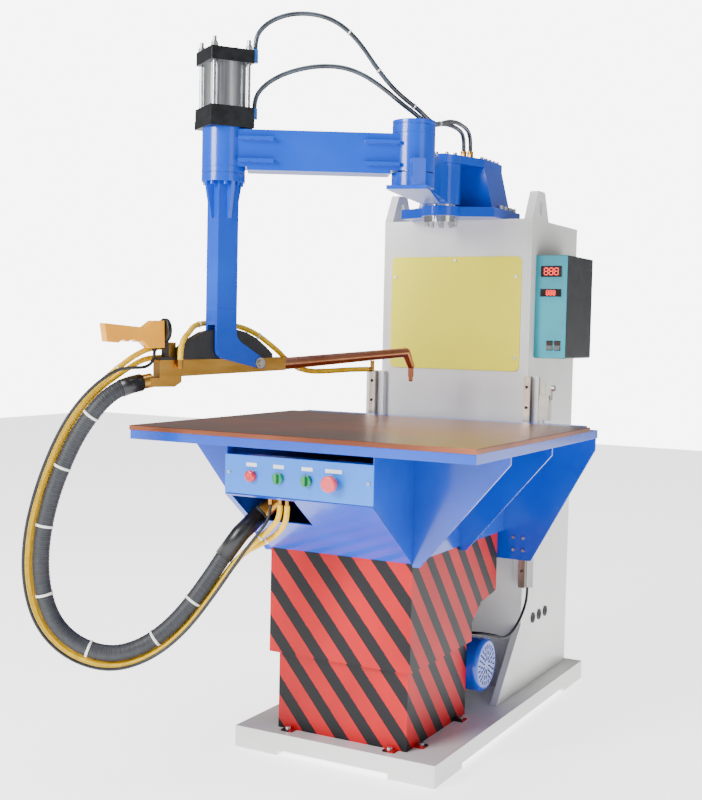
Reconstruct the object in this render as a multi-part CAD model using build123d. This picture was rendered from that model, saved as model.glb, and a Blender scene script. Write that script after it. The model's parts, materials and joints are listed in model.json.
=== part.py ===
from build123d import *
import os
from math import atan2, cos, degrees, hypot, pi, radians, sin, tan

# Table spot welder with an articulated overhead arm.
# Row frame: origin on the floor at the centre of the base, +X to the right of the
# person standing at the button panel, +Y towards the column, +Z up. Millimetres.

# ---- driving sizes: fits
GAP = 0.3              # space between pieces that move past each other
RUN_FIT = 0.05         # radial clearance of a shaft in its bore

# ---- driving sizes: base and column
BASE_WIDTH = 589.0
BASE_HEIGHT = 58.0
DECK = 12.0
FRONT_MARGIN = 51.0    # base edge to the lower guard
REAR_MARGIN = 22.0     # column to the rear base edge
GUARD_REACH = 661.0    # lower guard front to column front
RAIL_WIDTH = 130.0     # width of one side member of the base
FOOT_LENGTH = 170.0
NOTCH = 14.0           # clearance under the base between its feet
COLUMN_WIDTH = 484.0
COLUMN_DEPTH = 412.0
COLUMN_TOP = 1462.0
PLATE = 10.0
FOOT_FLARE = 170.0     # how far the side plates run forward at the deck
FLARE_RISE = 190.0

# ---- driving sizes: table
TABLE_WIDTH = 960.0
TABLE_DEPTH = 803.0
TABLE_TOP = 870.0
COPPER = 12.0
RIM = 23.0
RIM_BAR = 40.0
REAR_STRIP = 76.0      # painted frame behind the copper
TABLE_TO_COLUMN = 65.0 # rear of the table frame to the column front
GUARD_HALF = 191.0
GUARD_DEPTH = 372.0
GUARD_STEP = 16.5      # upper guard stands this much outside the lower one
GUARD_LAP = 32.0
SHEET = 3.0

# ---- driving sizes: arm
HINGE_SETBACK = 112.0  # shoulder axis in front of the column
LINK_1 = 474.3
LINK_1_TURN = -74.5    # degrees from +X
LINK_2 = 483.3
LINK_2_TURN = -148.7
POST_TURN = 64.6
HUB_R = 55.0
PIN_R = 22.0
RAM_R = 35.0
BORE_R = 50.0          # air cylinder bore
STROKE = 65.0
CAP_SIDE = 115.0
FORK_PLATE = 10.0
FORK_CLEAR = 1.0       # each side of the bar in its fork
BEAM_CLEAR = 164.0     # beam pivot above the table top
PIVOT_AHEAD = 100.0    # beam pivot in front of the post axis
BAR_WIDTH = 36.0
POST_SIDE = BAR_WIDTH + 2 * (FORK_CLEAR + FORK_PLATE)

# ---- driving sizes: cords
MAIN_CABLE = 40.0
WATER_HOSE = 14.0
AIR_HOSE = 12.0
THIN_CABLE = 8.0

# ---- worked out from the driving sizes
BASE_LENGTH = FRONT_MARGIN + GUARD_REACH + COLUMN_DEPTH + REAR_MARGIN
BASE_FRONT = -BASE_LENGTH / 2
GUARD_FRONT = BASE_FRONT + FRONT_MARGIN
COLUMN_FRONT = GUARD_FRONT + GUARD_REACH
COLUMN_BACK = COLUMN_FRONT + COLUMN_DEPTH
COLUMN_HALF = COLUMN_WIDTH / 2
TABLE_BACK = COLUMN_FRONT - TABLE_TO_COLUMN
COPPER_BACK = TABLE_BACK - REAR_STRIP
TABLE_FRONT = COPPER_BACK - TABLE_DEPTH
TABLE_HALF = TABLE_WIDTH / 2
RIM_TOP = TABLE_TOP - COPPER
RIM_BOTTOM = RIM_TOP - RIM
HOUSING_HALF = GUARD_HALF + GUARD_STEP
HOUSING_FRONT = GUARD_FRONT - 25
HOUSING_LOW = RIM_BOTTOM - 287
UPPER_GUARD_LOW = HOUSING_LOW - 281
PANEL_FRONT = TABLE_FRONT + 38
PANEL_LOW = RIM_BOTTOM - 119
PANEL_HIGH = RIM_BOTTOM - 23
RAIL_X = COLUMN_HALF + 12.6
RAIL_FACE = COLUMN_FRONT - 42
RAIL_SIZE = 20.0
RAIL_LOW = TABLE_TOP - 492
RAIL_HIGH = TABLE_TOP + 130
CARRIAGE_BACK = TABLE_BACK
CARRIAGE_FRONT = TABLE_BACK - 7
JACK_Y = COLUMN_FRONT - 212
MOTOR_Z = BASE_HEIGHT + 125
HINGE_Y = COLUMN_FRONT - HINGE_SETBACK
BRACKET_TOP = COLUMN_TOP + 176
LINK_LOW = COLUMN_TOP + 27
HUB_LOW = COLUMN_TOP + 67
HUB_HIGH = COLUMN_TOP + 164
COLLAR_LOW = COLUMN_TOP + 30
CAP_LOW = HUB_HIGH + 21
CAP_TOP = CAP_LOW + 173
PIVOT_Z = TABLE_TOP + BEAM_CLEAR


def polar(origin, turn, distance):
    """The point at a distance from an origin in a plan direction in degrees."""
    return (origin[0] + distance * cos(radians(turn)), origin[1] + distance * sin(radians(turn)))


SHOULDER = (0.0, HINGE_Y)
ELBOW = polar(SHOULDER, LINK_1_TURN, LINK_1)
HEAD = polar(ELBOW, LINK_2_TURN, LINK_2)


# ---- small makers
def slab(x, y, z):
    """A block between two x, two y and two z values."""
    middle = ((x[0] + x[1]) / 2, (y[0] + y[1]) / 2, (z[0] + z[1]) / 2)
    return Pos(*middle) * Box(x[1] - x[0], y[1] - y[0], z[1] - z[0])


def post(place, z, radius):
    """A round bar along Z."""
    return Pos(place[0], place[1], (z[0] + z[1]) / 2) * Cylinder(radius, z[1] - z[0])


def bar_x(place, x, radius):
    """A round bar along X at (y, z)."""
    return Pos((x[0] + x[1]) / 2, place[0], place[1]) * Rot(0, 90, 0) * Cylinder(radius, x[1] - x[0])


def bar_y(place, y, radius):
    """A round bar along Y at (x, z)."""
    return Pos(place[0], (y[0] + y[1]) / 2, place[1]) * Rot(90, 0, 0) * Cylinder(radius, y[1] - y[0])


def outline(points):
    """A flat face through points; a third number rounds that corner."""
    face = make_face(Polyline(*[(p[0], p[1]) for p in points], close=True))
    for p in points:
        if len(p) == 3:
            corner = face.vertices().sort_by_distance((p[0], p[1], 0))[0]
            face = fillet(corner, p[2])
    return face


def plate_yz(points, x):
    """A plate with its outline in Y and Z between two x values."""
    plane = Plane(origin=(x[0], 0, 0), x_dir=(0, 1, 0), z_dir=(1, 0, 0))
    return extrude(plane * outline(points), x[1] - x[0])


def plate_xz(points, y):
    """A plate with its outline in X and Z between two y values."""
    plane = Plane(origin=(0, y[1], 0), x_dir=(1, 0, 0), z_dir=(0, -1, 0))
    return extrude(plane * outline(points), y[1] - y[0])


def plate_xy(points, z):
    """A plate with its outline in X and Y between two z values."""
    return extrude(Pos(0, 0, z[0]) * outline(points), z[1] - z[0])


def hexagon(across, height):
    """A hexagonal prism that stands on the XY plane."""
    return extrude(RegularPolygon(across / 2, 6, major_radius=False), height)


def cap_head(radius, height):
    """A socket head that stands on the XY plane."""
    return Pos(0, 0, height / 2) * Cylinder(radius, height) - Pos(0, 0, height) * hexagon_socket(radius)


def hexagon_socket(radius):
    """The recess for the key in a socket head."""
    return Pos(0, 0, -radius * 0.6) * hexagon(radius * 0.95, radius)


def square(side, z, centre=(0, 0)):
    """A square block between two z values."""
    half = side / 2
    return slab((centre[0] - half, centre[0] + half), (centre[1] - half, centre[1] + half), z)


def placed(origin, turn):
    """A local frame in plan with its X axis in the direction turn."""
    return Pos(origin[0], origin[1], 0) * Rot(0, 0, turn)


def solids_of(shape):
    """The separate solids in a shape or a list of shapes."""
    if isinstance(shape, (list, tuple)):
        return [solid for item in shape for solid in solids_of(item)]
    return list(shape.solids())


def mirrored(shape):
    """A shape and its mirror image in the YZ plane."""
    return [shape, mirror(shape, about=Plane.YZ)]


# ---- base and column
def base_frame():
    half, length = BASE_WIDTH / 2, BASE_LENGTH / 2
    under = BASE_HEIGHT - DECK
    deck = slab((-half, half), (-length, length), (under, BASE_HEIGHT))
    notch = slab((half - RAIL_WIDTH - 1, half + 1), (-length + FOOT_LENGTH, length - FOOT_LENGTH), (-1, NOTCH))
    side = slab((half - RAIL_WIDTH, half), (-length, length), (0, under)) - notch
    for y in (-length + ANCHOR_INSET, length - ANCHOR_INSET):
        side -= post((half - ANCHOR_INSET, y), (-1, ANCHOR_DEPTH), ANCHOR_R)
    inner = half - RAIL_WIDTH
    cross = [slab((-inner, inner), y, (NOTCH, under))
             for y in ((-length, -length + CROSS_BAR), (length - CROSS_BAR, length), (-CROSS_BAR / 2, CROSS_BAR / 2))]
    return [deck, mirrored(side), cross]


ANCHOR_INSET = 60.0
ANCHOR_R = 7.0
ANCHOR_DEPTH = 30.0
CROSS_BAR = 40.0
FLANGE = 8.0
FLANGE_WIDTH = 20.0


def column_sides():
    top = COLUMN_TOP - DECK
    flare_top = BASE_HEIGHT + FLARE_RISE
    foot = COLUMN_FRONT - FOOT_FLARE
    side = plate_yz([(COLUMN_BACK, BASE_HEIGHT), (COLUMN_BACK, top), (COLUMN_FRONT, top),
                     (COLUMN_FRONT, flare_top), (foot, BASE_HEIGHT)], (COLUMN_HALF - PLATE, COLUMN_HALF))
    slope = atan2(FLARE_RISE, FOOT_FLARE)
    flange = plate_yz([(foot - FLANGE / sin(slope), BASE_HEIGHT), (foot, BASE_HEIGHT),
                       (COLUMN_FRONT, flare_top), (COLUMN_FRONT, flare_top + FLANGE / cos(slope))],
                      (COLUMN_HALF - FLANGE_WIDTH, COLUMN_HALF))
    lug = plate_yz([(COLUMN_FRONT, COLUMN_TOP), (COLUMN_FRONT + 140, COLUMN_TOP),
                    (COLUMN_FRONT + 101, COLUMN_TOP + 85, 12), (COLUMN_FRONT + 43, COLUMN_TOP + 85, 12)],
                   (COLUMN_HALF - 26, COLUMN_HALF))
    slot = SlotOverall(46, 22)
    slot_plane = Plane(origin=(COLUMN_HALF - 30, COLUMN_FRONT + 71, COLUMN_TOP + 38), x_dir=(0, 0, 1), z_dir=(1, 0, 0))
    lug -= extrude(slot_plane * slot, 40)
    return [mirrored(side), mirrored(flange), mirrored(lug)]


def column_plates():
    top = COLUMN_TOP - DECK
    inner = COLUMN_HALF - PLATE
    front = slab((-inner, inner), (COLUMN_FRONT, COLUMN_FRONT + PLATE), (BASE_HEIGHT, top))
    back = slab((-inner, inner), (COLUMN_BACK - PLATE, COLUMN_BACK), (BASE_HEIGHT, top))
    lid = slab((-COLUMN_HALF, COLUMN_HALF), (COLUMN_FRONT, COLUMN_BACK), (top, COLUMN_TOP))
    return [front, back, lid]


PANEL_HALF = 213.0
PANEL_RISE = 340.0
PANEL_DROP = 110.0     # column top to the top of the yellow panel


def panel_outline():
    low, high = COLUMN_TOP - PANEL_DROP - PANEL_RISE, COLUMN_TOP - PANEL_DROP
    return [(-PANEL_HALF, low, 16), (PANEL_HALF, low, 16), (PANEL_HALF, high, 16), (-PANEL_HALF, high, 16)]


def yellow_panel():
    return plate_xz(panel_outline(), (COLUMN_FRONT - SHEET, COLUMN_FRONT))


# ---- lift: rails, jack, motor
RAIL_PITCH = 60.0


def rail_bars():
    return mirrored(slab((COLUMN_HALF - 18, COLUMN_HALF + 42), (RAIL_FACE + RAIL_SIZE, COLUMN_FRONT),
                         (RAIL_LOW, RAIL_HIGH)))


def linear_rails():
    half = RAIL_SIZE / 2
    rail = slab((RAIL_X - half, RAIL_X + half), (RAIL_FACE, RAIL_FACE + RAIL_SIZE), (RAIL_LOW, RAIL_HIGH))
    for side in (-half, half):
        rail -= bar_z_groove(RAIL_X + side, RAIL_FACE + 8, (RAIL_LOW - 1, RAIL_HIGH + 1))
    count = int((RAIL_HIGH - RAIL_LOW) // RAIL_PITCH)
    for n in range(count + 1):
        z = RAIL_HIGH - 31 - n * RAIL_PITCH
        if z > RAIL_LOW + 8:
            rail -= bar_y((RAIL_X, z), (RAIL_FACE - 1, RAIL_FACE + RAIL_SIZE + 1), 3.0)
            rail -= bar_y((RAIL_X, z), (RAIL_FACE - 1, RAIL_FACE + 9), 5.0)
    return mirrored(rail)


def bar_z_groove(x, y, z):
    """The ball track along one side of a rail."""
    return post((x, y), z, 2.5)


BLOCK_LENGTH = 80.0
BLOCK_HALF = 26.0


def linear_blocks():
    half = RAIL_SIZE / 2 + GAP
    blocks = []
    for low in (RIM_BOTTOM - 362, RIM_BOTTOM - 110):
        body = slab((RAIL_X - BLOCK_HALF, RAIL_X + BLOCK_HALF), (CARRIAGE_BACK, RAIL_FACE + 14), (low, low + BLOCK_LENGTH))
        body -= slab((RAIL_X - half, RAIL_X + half), (RAIL_FACE - GAP, RAIL_FACE + 15), (low - 1, low + BLOCK_LENGTH + 1))
        blocks += mirrored(body)
    return blocks


def jack_housing():
    """Worm screw jack: a cast box with a neck that the lifting screw slides through."""
    box = slab((-58, 58), (JACK_Y - 58, JACK_Y + 58), (BASE_HEIGHT + 12, MOTOR_Z + 52))
    box = fillet(box.edges().filter_by(Axis.Z), 12)
    foot = slab((-78, 78), (JACK_Y - 70, JACK_Y + 70), (BASE_HEIGHT, BASE_HEIGHT + 12))
    neck = post((0, JACK_Y), (MOTOR_Z + 52, MOTOR_Z + 72), 36)
    flange = bar_x((JACK_Y, MOTOR_Z), (58, 70), 56)
    body = box + foot + neck + flange
    return body - post((0, JACK_Y), (BASE_HEIGHT + 6, MOTOR_Z + 73), SCREW_R + RUN_FIT)


SCREW_R = 18.0


def lift_motor():
    """Geared motor with a finned body, a terminal box and a fan cover."""
    body = bar_x((JACK_Y, MOTOR_Z), (MOTOR_START, MOTOR_FAN), MOTOR_R)
    for n in range(FIN_COUNT):
        turn = 360 / FIN_COUNT * n
        fin = slab((MOTOR_START + 6, MOTOR_FAN - 6), (-FIN / 2, FIN / 2), (MOTOR_R - 2, MOTOR_R + FIN_HEIGHT))
        body += Pos(0, JACK_Y, MOTOR_Z) * Rot(turn, 0, 0) * fin
    box = slab((84, 148), (JACK_Y - 30, JACK_Y + 30), (MOTOR_Z + 64, MOTOR_Z + 96))
    cover = bar_x((JACK_Y, MOTOR_Z), (MOTOR_FAN, MOTOR_FAN + FAN_COVER), FAN_COVER_R)
    cover = fillet(cover.edges().sort_by(Axis.X)[-1], 14)
    return [body, box - body, cover]


FIN_COUNT = 24
FIN = 3.2
FIN_HEIGHT = 9.0
MOTOR_START = 70.0
MOTOR_FAN = 172.0      # where the fan cover begins
MOTOR_R = 60.0
FAN_COVER = 50.0
FAN_COVER_R = 76.5


def lift_screw():
    """Lifting screw with its top plate, carried by a cross plate of the table."""
    screw = post((0, JACK_Y), (MOTOR_Z + 8, BRIDGE_Z), SCREW_R)
    top = post((0, JACK_Y), (BRIDGE_Z - 14, BRIDGE_Z), 40)
    return screw + top


BRIDGE_Z = TABLE_TOP - 310


# ---- guards
def guard_walls(half, front, back, z):
    """Four sheet walls that meet edge to edge."""
    return [slab((-half, half), (front, front + SHEET), z),
            slab((-half, half), (back - SHEET, back), z),
            slab((-half, -half + SHEET), (front + SHEET, back - SHEET), z),
            slab((half - SHEET, half), (front + SHEET, back - SHEET), z)]


def lower_guard():
    back = GUARD_FRONT + GUARD_DEPTH
    tabs = []
    for x in (-GUARD_HALF + 40, GUARD_HALF - 40):
        tabs.append(slab((x - 16, x + 16), (GUARD_FRONT - 26, GUARD_FRONT), (BASE_HEIGHT, BASE_HEIGHT + 4)))
    for y in (GUARD_FRONT + 60, back - 60):
        tabs += mirrored(slab((GUARD_HALF, GUARD_HALF + 26), (y - 16, y + 16), (BASE_HEIGHT, BASE_HEIGHT + 4)))
    return guard_walls(GUARD_HALF, GUARD_FRONT, back, (BASE_HEIGHT, UPPER_GUARD_LOW + GUARD_LAP)) + tabs


GUARD_TAIL = 168.0     # how far the upper guard's sides reach behind the lower guard


def upper_guard():
    """Sheet box that slides down over the lower one, cut away at the back above the motor."""
    heel = GUARD_FRONT + GUARD_DEPTH - 3
    tail = GUARD_FRONT + GUARD_DEPTH + GUARD_TAIL
    half = HOUSING_HALF
    side = plate_yz([(HOUSING_FRONT + SHEET, UPPER_GUARD_LOW), (heel, UPPER_GUARD_LOW), (heel, UPPER_GUARD_LOW + 51),
                     (heel + 63, UPPER_GUARD_LOW + 99), (tail, UPPER_GUARD_LOW + 113), (tail, HOUSING_LOW),
                     (HOUSING_FRONT + SHEET, HOUSING_LOW)], (half - SHEET, half))
    front = slab((-half, half), (HOUSING_FRONT, HOUSING_FRONT + SHEET), (UPPER_GUARD_LOW, HOUSING_LOW))
    back = slab((-half + SHEET, half - SHEET), (tail - SHEET, tail), (UPPER_GUARD_LOW + 113, HOUSING_LOW))
    return [front, back, mirrored(side)]


# ---- table
def table_frame():
    half = TABLE_HALF - 2
    front = TABLE_FRONT + 2
    z = (RIM_BOTTOM, RIM_TOP)
    bars = [slab((-half, half), (front, front + RIM_BAR), z),
            slab((-half, half), (TABLE_BACK - RIM_BAR, TABLE_BACK), z)]
    sides = slab((half - RIM_BAR, half), (front + RIM_BAR, TABLE_BACK - RIM_BAR), z)
    joists = [slab((x - 20, x + 20), (front + RIM_BAR, TABLE_BACK - RIM_BAR), z) for x in (-150, 150)]
    strip = slab((-half + 25, half - 25), (COPPER_BACK, TABLE_BACK - 20), (RIM_TOP, TABLE_TOP))
    return [bars, mirrored(sides), joists, strip]


SEAM = COPPER_BACK - 403


def copper_tops():
    z = (RIM_TOP, TABLE_TOP)
    front = slab((-TABLE_HALF, TABLE_HALF), (TABLE_FRONT, SEAM - 0.5), z)
    rear = slab((-TABLE_HALF, TABLE_HALF), (SEAM + 0.5, COPPER_BACK), z)
    return [chamfer(sheet.edges().group_by(Axis.Z)[-1], 1) for sheet in (front, rear)]


def back_plate():
    half = TABLE_HALF - 6
    foot = COLUMN_HALF + 51
    low = RIM_BOTTOM - 369
    return plate_xz([(-foot, low), (foot, low), (half, RIM_BOTTOM - 35), (half, RIM_BOTTOM),
                     (-half, RIM_BOTTOM), (-half, RIM_BOTTOM - 35)], (CARRIAGE_FRONT, CARRIAGE_BACK))


WING_PLATE = 8.0


def wings():
    """Two pairs of gussets between the housing sides and the table frame."""
    tip = TABLE_HALF - 21
    shape = [(HOUSING_HALF, RIM_BOTTOM), (HOUSING_HALF, HOUSING_LOW - 10), (HOUSING_HALF + 18, HOUSING_LOW - 10),
             (tip, RIM_BOTTOM - 24), (tip, RIM_BOTTOM)]
    out = []
    for y in (HOUSING_FRONT, HOUSING_FRONT + 293):
        out += mirrored(plate_xz(shape, (y, y + WING_PLATE)))
    return out


def housing_side_outline():
    return [(PANEL_FRONT + SHEET, RIM_BOTTOM), (PANEL_FRONT + SHEET, PANEL_LOW), (HOUSING_FRONT, HOUSING_LOW),
            (CARRIAGE_FRONT, HOUSING_LOW), (CARRIAGE_FRONT, RIM_BOTTOM)]


def housing():
    """Welded box under the table: sides, floor and the bridge over the screw jack."""
    side = plate_yz(housing_side_outline(), (HOUSING_HALF - SHEET, HOUSING_HALF))
    inner = HOUSING_HALF - SHEET
    floor = slab((-inner, inner), (HOUSING_FRONT + 20, GUARD_FRONT + GUARD_DEPTH + 22), (HOUSING_LOW, HOUSING_LOW + SHEET))
    bridge = slab((-inner, inner), (JACK_Y - 60, CARRIAGE_FRONT), (BRIDGE_Z, BRIDGE_Z + 16))
    return [mirrored(side), floor, bridge]


SLOPE_OPENING = (-190.0, -10.0, 8.0, 125.0)   # x from, x to, along the slope from its top edge, to


def sloped_panel():
    """Cover on the sloping underside, with the opening for the cable and the hoses."""
    rise, run = PANEL_LOW - HOUSING_LOW, HOUSING_FRONT - PANEL_FRONT
    slope = atan2(rise, run)
    x0, x1, s0, s1 = SLOPE_OPENING
    length = hypot(rise, run)
    panel = slab((-HOUSING_HALF, HOUSING_HALF), (1, length), (-SHEET, 0))
    panel -= slab((x0, x1), (s0, s1), (-SHEET - 1, 1))
    return Pos(0, PANEL_FRONT, PANEL_LOW) * Rot(-degrees(slope), 0, 0) * panel


BUTTON_X = (-130.0, -52.0, 28.0, 101.0)
BUTTON_Z = PANEL_LOW + 46
BUTTON_HOLE = 11.0


def button_panel():
    """Folded front of the button box, with a hole for each control."""
    half = HOUSING_HALF + 0.5
    face = slab((-half, half), (PANEL_FRONT, PANEL_FRONT + SHEET), (PANEL_LOW, PANEL_HIGH))
    lip = slab((-half, half), (PANEL_FRONT + SHEET, PANEL_FRONT + 40), (PANEL_HIGH - SHEET, PANEL_HIGH))
    lip -= slab((-half - 1, -HOUSING_HALF + SHEET + 0.2), (PANEL_FRONT + SHEET, PANEL_FRONT + 41), (PANEL_HIGH - 9, PANEL_HIGH + 1))
    lip -= slab((HOUSING_HALF - SHEET - 0.2, half + 1), (PANEL_FRONT + SHEET, PANEL_FRONT + 41), (PANEL_HIGH - 9, PANEL_HIGH + 1))
    body = face + lip
    for x in BUTTON_X:
        body -= bar_y((x, BUTTON_Z), (PANEL_FRONT - 1, PANEL_FRONT + SHEET + 1), BUTTON_HOLE)
    return body


def panel_lamp():
    """Indicator: lens in front of the panel and its body through the hole."""
    lens = bar_y((BUTTON_X[0], BUTTON_Z), (PANEL_FRONT - 13, PANEL_FRONT), 14.5)
    lens = fillet(lens.edges().sort_by(Axis.Y)[0], 5)
    stem = bar_y((BUTTON_X[0], BUTTON_Z), (PANEL_FRONT, PANEL_FRONT + 45), BUTTON_HOLE - RUN_FIT)
    return lens + stem


def selector(x):
    """Rotary switch: a knob with a pointer bar on a stem."""
    knob = bar_y((x, BUTTON_Z), (PANEL_FRONT - 10, PANEL_FRONT - GAP), 14.5)
    knob = fillet(knob.edges().sort_by(Axis.Y)[0], 2)
    pointer = slab((x - 4, x + 4), (PANEL_FRONT - 18, PANEL_FRONT - 10), (BUTTON_Z - 13, BUTTON_Z + 13))
    pointer = fillet(pointer.edges().filter_by(Axis.Y), 2.5)
    stem = bar_y((x, BUTTON_Z), (PANEL_FRONT - GAP, PANEL_FRONT + 40), BUTTON_HOLE - RUN_FIT)
    return knob + pointer + stem


PRESS_TRAVEL = 5.0


def emergency_stop():
    """Mushroom button on a stem that slides in the panel hole."""
    x = BUTTON_X[3]
    head = bar_y((x, BUTTON_Z), (PANEL_FRONT - 30, PANEL_FRONT - 30 + 13), 20)
    head = fillet(head.edges().sort_by(Axis.Y)[0], 5)
    neck = bar_y((x, BUTTON_Z), (PANEL_FRONT - 17, PANEL_FRONT + 38), BUTTON_HOLE - RUN_FIT)
    return head + neck


def transformer():
    """Welding transformer: laminated core with two coils between its legs."""
    y0 = GUARD_FRONT + 40
    low = HOUSING_LOW + 30
    core = slab((-120, 120), (y0, y0 + 150), (low, low + 190))
    core -= slab((-70, -15), (y0 - 1, y0 + 151), (low + 40, low + 150))
    core -= slab((15, 70), (y0 - 1, y0 + 151), (low + 40, low + 150))
    coil = slab((-70, 70), (y0 - 30, y0 + 180), (low + 42, low + 148))
    coil -= slab((-16, 16), (y0 - 2, y0 + 152), (low + 41, low + 149))
    coil = fillet(coil.edges().filter_by(Axis.Z).group_by(Axis.X)[0], 8)
    feet = [slab((x - 12, x + 12), (y0, y0 + 150), (HOUSING_LOW + SHEET, low)) for x in (-100, 100)]
    return [core, coil - core, feet]


TERMINAL = (-124.0, -725.0, 668.0)      # where the main cable meets its lug
TERMINAL_WAY = (24.0, 33.0, 32.0)       # direction of the cable as it arrives
PIPE_X = (-58.0, -38.0)
PIPE_Y = PANEL_FRONT + 20
PIPE_END = PANEL_LOW - 22
GLAND_X = -86.0


def lower_terminal():
    """Barrel lug of the main cable on its bus bar, two hose pipes and a cable gland."""
    plane = Plane(origin=TERMINAL, z_dir=TERMINAL_WAY)
    barrel = extrude(plane * Circle(MAIN_CABLE / 2), 48)
    x, y, z = Vector(*TERMINAL) + Vector(*TERMINAL_WAY).normalized() * 40
    bus = slab((x - 20, x + 20), (y - 6, GUARD_FRONT + 10), (z - 8, z + 8))
    outlets = slab((GLAND_X - 10, PIPE_X[1] + 10), (PIPE_Y - 8, PIPE_Y + 30), (PANEL_LOW - 4, PANEL_LOW + 2))
    outlets += post((GLAND_X, PIPE_Y), (PIPE_END, PANEL_LOW), THIN_CABLE / 2 + 2)
    for pipe_x in PIPE_X:
        outlets += post((pipe_x, PIPE_Y), (PIPE_END, PANEL_LOW), WATER_HOSE / 2 - 1.5)
    return [barrel + bus, outlets]


# ---- control box
BOX_WIDTH = 98.0
BOX_FRONT = COLUMN_FRONT + 43
BOX_DEPTH = 235.0
BOX_LOW = COLUMN_TOP - 409
BOX_RISE = 304.0
FACE = 3.0


def control_box():
    box = slab((COLUMN_HALF, COLUMN_HALF + BOX_WIDTH), (BOX_FRONT, BOX_FRONT + BOX_DEPTH), (BOX_LOW, BOX_LOW + BOX_RISE))
    box = fillet(box.edges().filter_by(Axis.Y), 4)
    hollow = slab((COLUMN_HALF + 3, COLUMN_HALF + BOX_WIDTH - 3), (BOX_FRONT - 1, BOX_FRONT + BOX_DEPTH - 3),
                  (BOX_LOW + 3, BOX_LOW + BOX_RISE - 3))
    return box - hollow


ROCKER_X = (COLUMN_HALF + 49, COLUMN_HALF + 73)
ROCKER_Z = BOX_LOW + 38
ROCKER_HALF = (9.0, 13.0)


def control_face():
    """Front panel of the control box, with openings for the two rocker switches."""
    x = (COLUMN_HALF + 1, COLUMN_HALF + BOX_WIDTH - 1)
    face = slab(x, (BOX_FRONT - FACE, BOX_FRONT), (BOX_LOW + 1, BOX_LOW + BOX_RISE - 1))
    display = slab((x[0] + 16, x[1] - 16), (BOX_FRONT - FACE - 2, BOX_FRONT - FACE), (BOX_LOW + 240, BOX_LOW + 272))
    small = slab((x[0] + 16, x[1] - 16), (BOX_FRONT - FACE - 2, BOX_FRONT - FACE), (BOX_LOW + 182, BOX_LOW + 204))
    for rx in ROCKER_X:
        face -= slab((rx - ROCKER_HALF[0] - GAP, rx + ROCKER_HALF[0] + GAP), (BOX_FRONT - FACE - 1, BOX_FRONT + 1),
                     (ROCKER_Z - ROCKER_HALF[1] - 1.5, ROCKER_Z + ROCKER_HALF[1] + 1.5))
    return [face, display, small]


def rocker(x):
    """Rocker switch: a shallow wedge that turns about a pin along X."""
    half, tall = ROCKER_HALF
    y = BOX_FRONT
    body = plate_yz([(y - FACE - 4, ROCKER_Z - tall), (y - FACE - 1.5, ROCKER_Z), (y - FACE - 4, ROCKER_Z + tall),
                     (y + 6, ROCKER_Z + tall - 5), (y + 6, ROCKER_Z - tall + 5)], (x - half, x + half))
    return body + bar_x((y, ROCKER_Z), (x - half - 0.2, x + half + 0.2), 2)


# ---- limit switch
SWITCH_X = COLUMN_HALF + 42
SWITCH_Z = TABLE_TOP + 4


def limit_switch():
    """Bracket strip on the rail bar and the switch that stops the lift."""
    strip = slab((SWITCH_X, SWITCH_X + 18), (COLUMN_FRONT - 16, COLUMN_FRONT - 10), (SWITCH_Z - 30, SWITCH_Z + 120))
    body = slab((SWITCH_X + 8, SWITCH_X + 40), (COLUMN_FRONT - 44, COLUMN_FRONT - 16), (SWITCH_Z, SWITCH_Z + 56))
    body = fillet(body.edges().filter_by(Axis.Z), 3)
    head = slab((SWITCH_X + 10, SWITCH_X + 38), (COLUMN_FRONT - 42, COLUMN_FRONT - 18), (SWITCH_Z + 56, SWITCH_Z + 74))
    head -= bar_x((COLUMN_FRONT - 30, SWITCH_Z + 66), (SWITCH_X + 20, SWITCH_X + 39), 4 + RUN_FIT)
    return [strip, body, head]


def switch_lever():
    """Lever with a roller on the spindle of the switch head."""
    y, z = COLUMN_FRONT - 30, SWITCH_Z + 66
    spindle = bar_x((y, z), (SWITCH_X + 20.5, SWITCH_X + 44), 4)
    arm = slab((SWITCH_X + 40, SWITCH_X + 44), (y - 5, y + 5), (z - 6, z + 34))
    arm = fillet(arm.edges().filter_by(Axis.X), 4.5)
    roller = bar_x((y, z + 28), (SWITCH_X + 44, SWITCH_X + 52), 9)
    return spindle + arm + roller


# ---- head bracket on the column
NOSE_R = 58.0
BASE_PLATE = 28.0
TOP_PLATE = 24.0


def nosed_plate(half, shoulder_y, back, z):
    """A plate with a round nose about the shoulder axis."""
    body = plate_xy([(-NOSE_R, HINGE_Y), (NOSE_R, HINGE_Y), (half, shoulder_y), (half, back), (-half, back),
                     (-half, shoulder_y)], z)
    return body + post(SHOULDER, z, NOSE_R)


def head_bracket():
    base = (COLUMN_TOP, COLUMN_TOP + BASE_PLATE)
    top = (BRACKET_TOP - TOP_PLATE, BRACKET_TOP)
    lower = nosed_plate(150, HINGE_Y + 40, COLUMN_FRONT + 138, base)
    upper = nosed_plate(92, COLUMN_FRONT - 18, COLUMN_FRONT + 125, top)
    lower -= post(SHOULDER, (base[0] - 1, base[1] + 1), SHAFT_R)
    upper -= post(SHOULDER, (top[0] - 1, top[1] + 1), SHAFT_R)
    box = plate_xz([(-122, base[1]), (122, base[1]), (92, top[0]), (-92, top[0])],
                   (COLUMN_FRONT - 18, COLUMN_FRONT + 125))
    box -= plate_xz([(-110, base[1] - 1), (110, base[1] - 1), (80, top[0] + 1), (-80, top[0] + 1)],
                    (COLUMN_FRONT - 6, COLUMN_FRONT + 113))
    return [lower, upper, box]


SHAFT_R = 25.0


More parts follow.
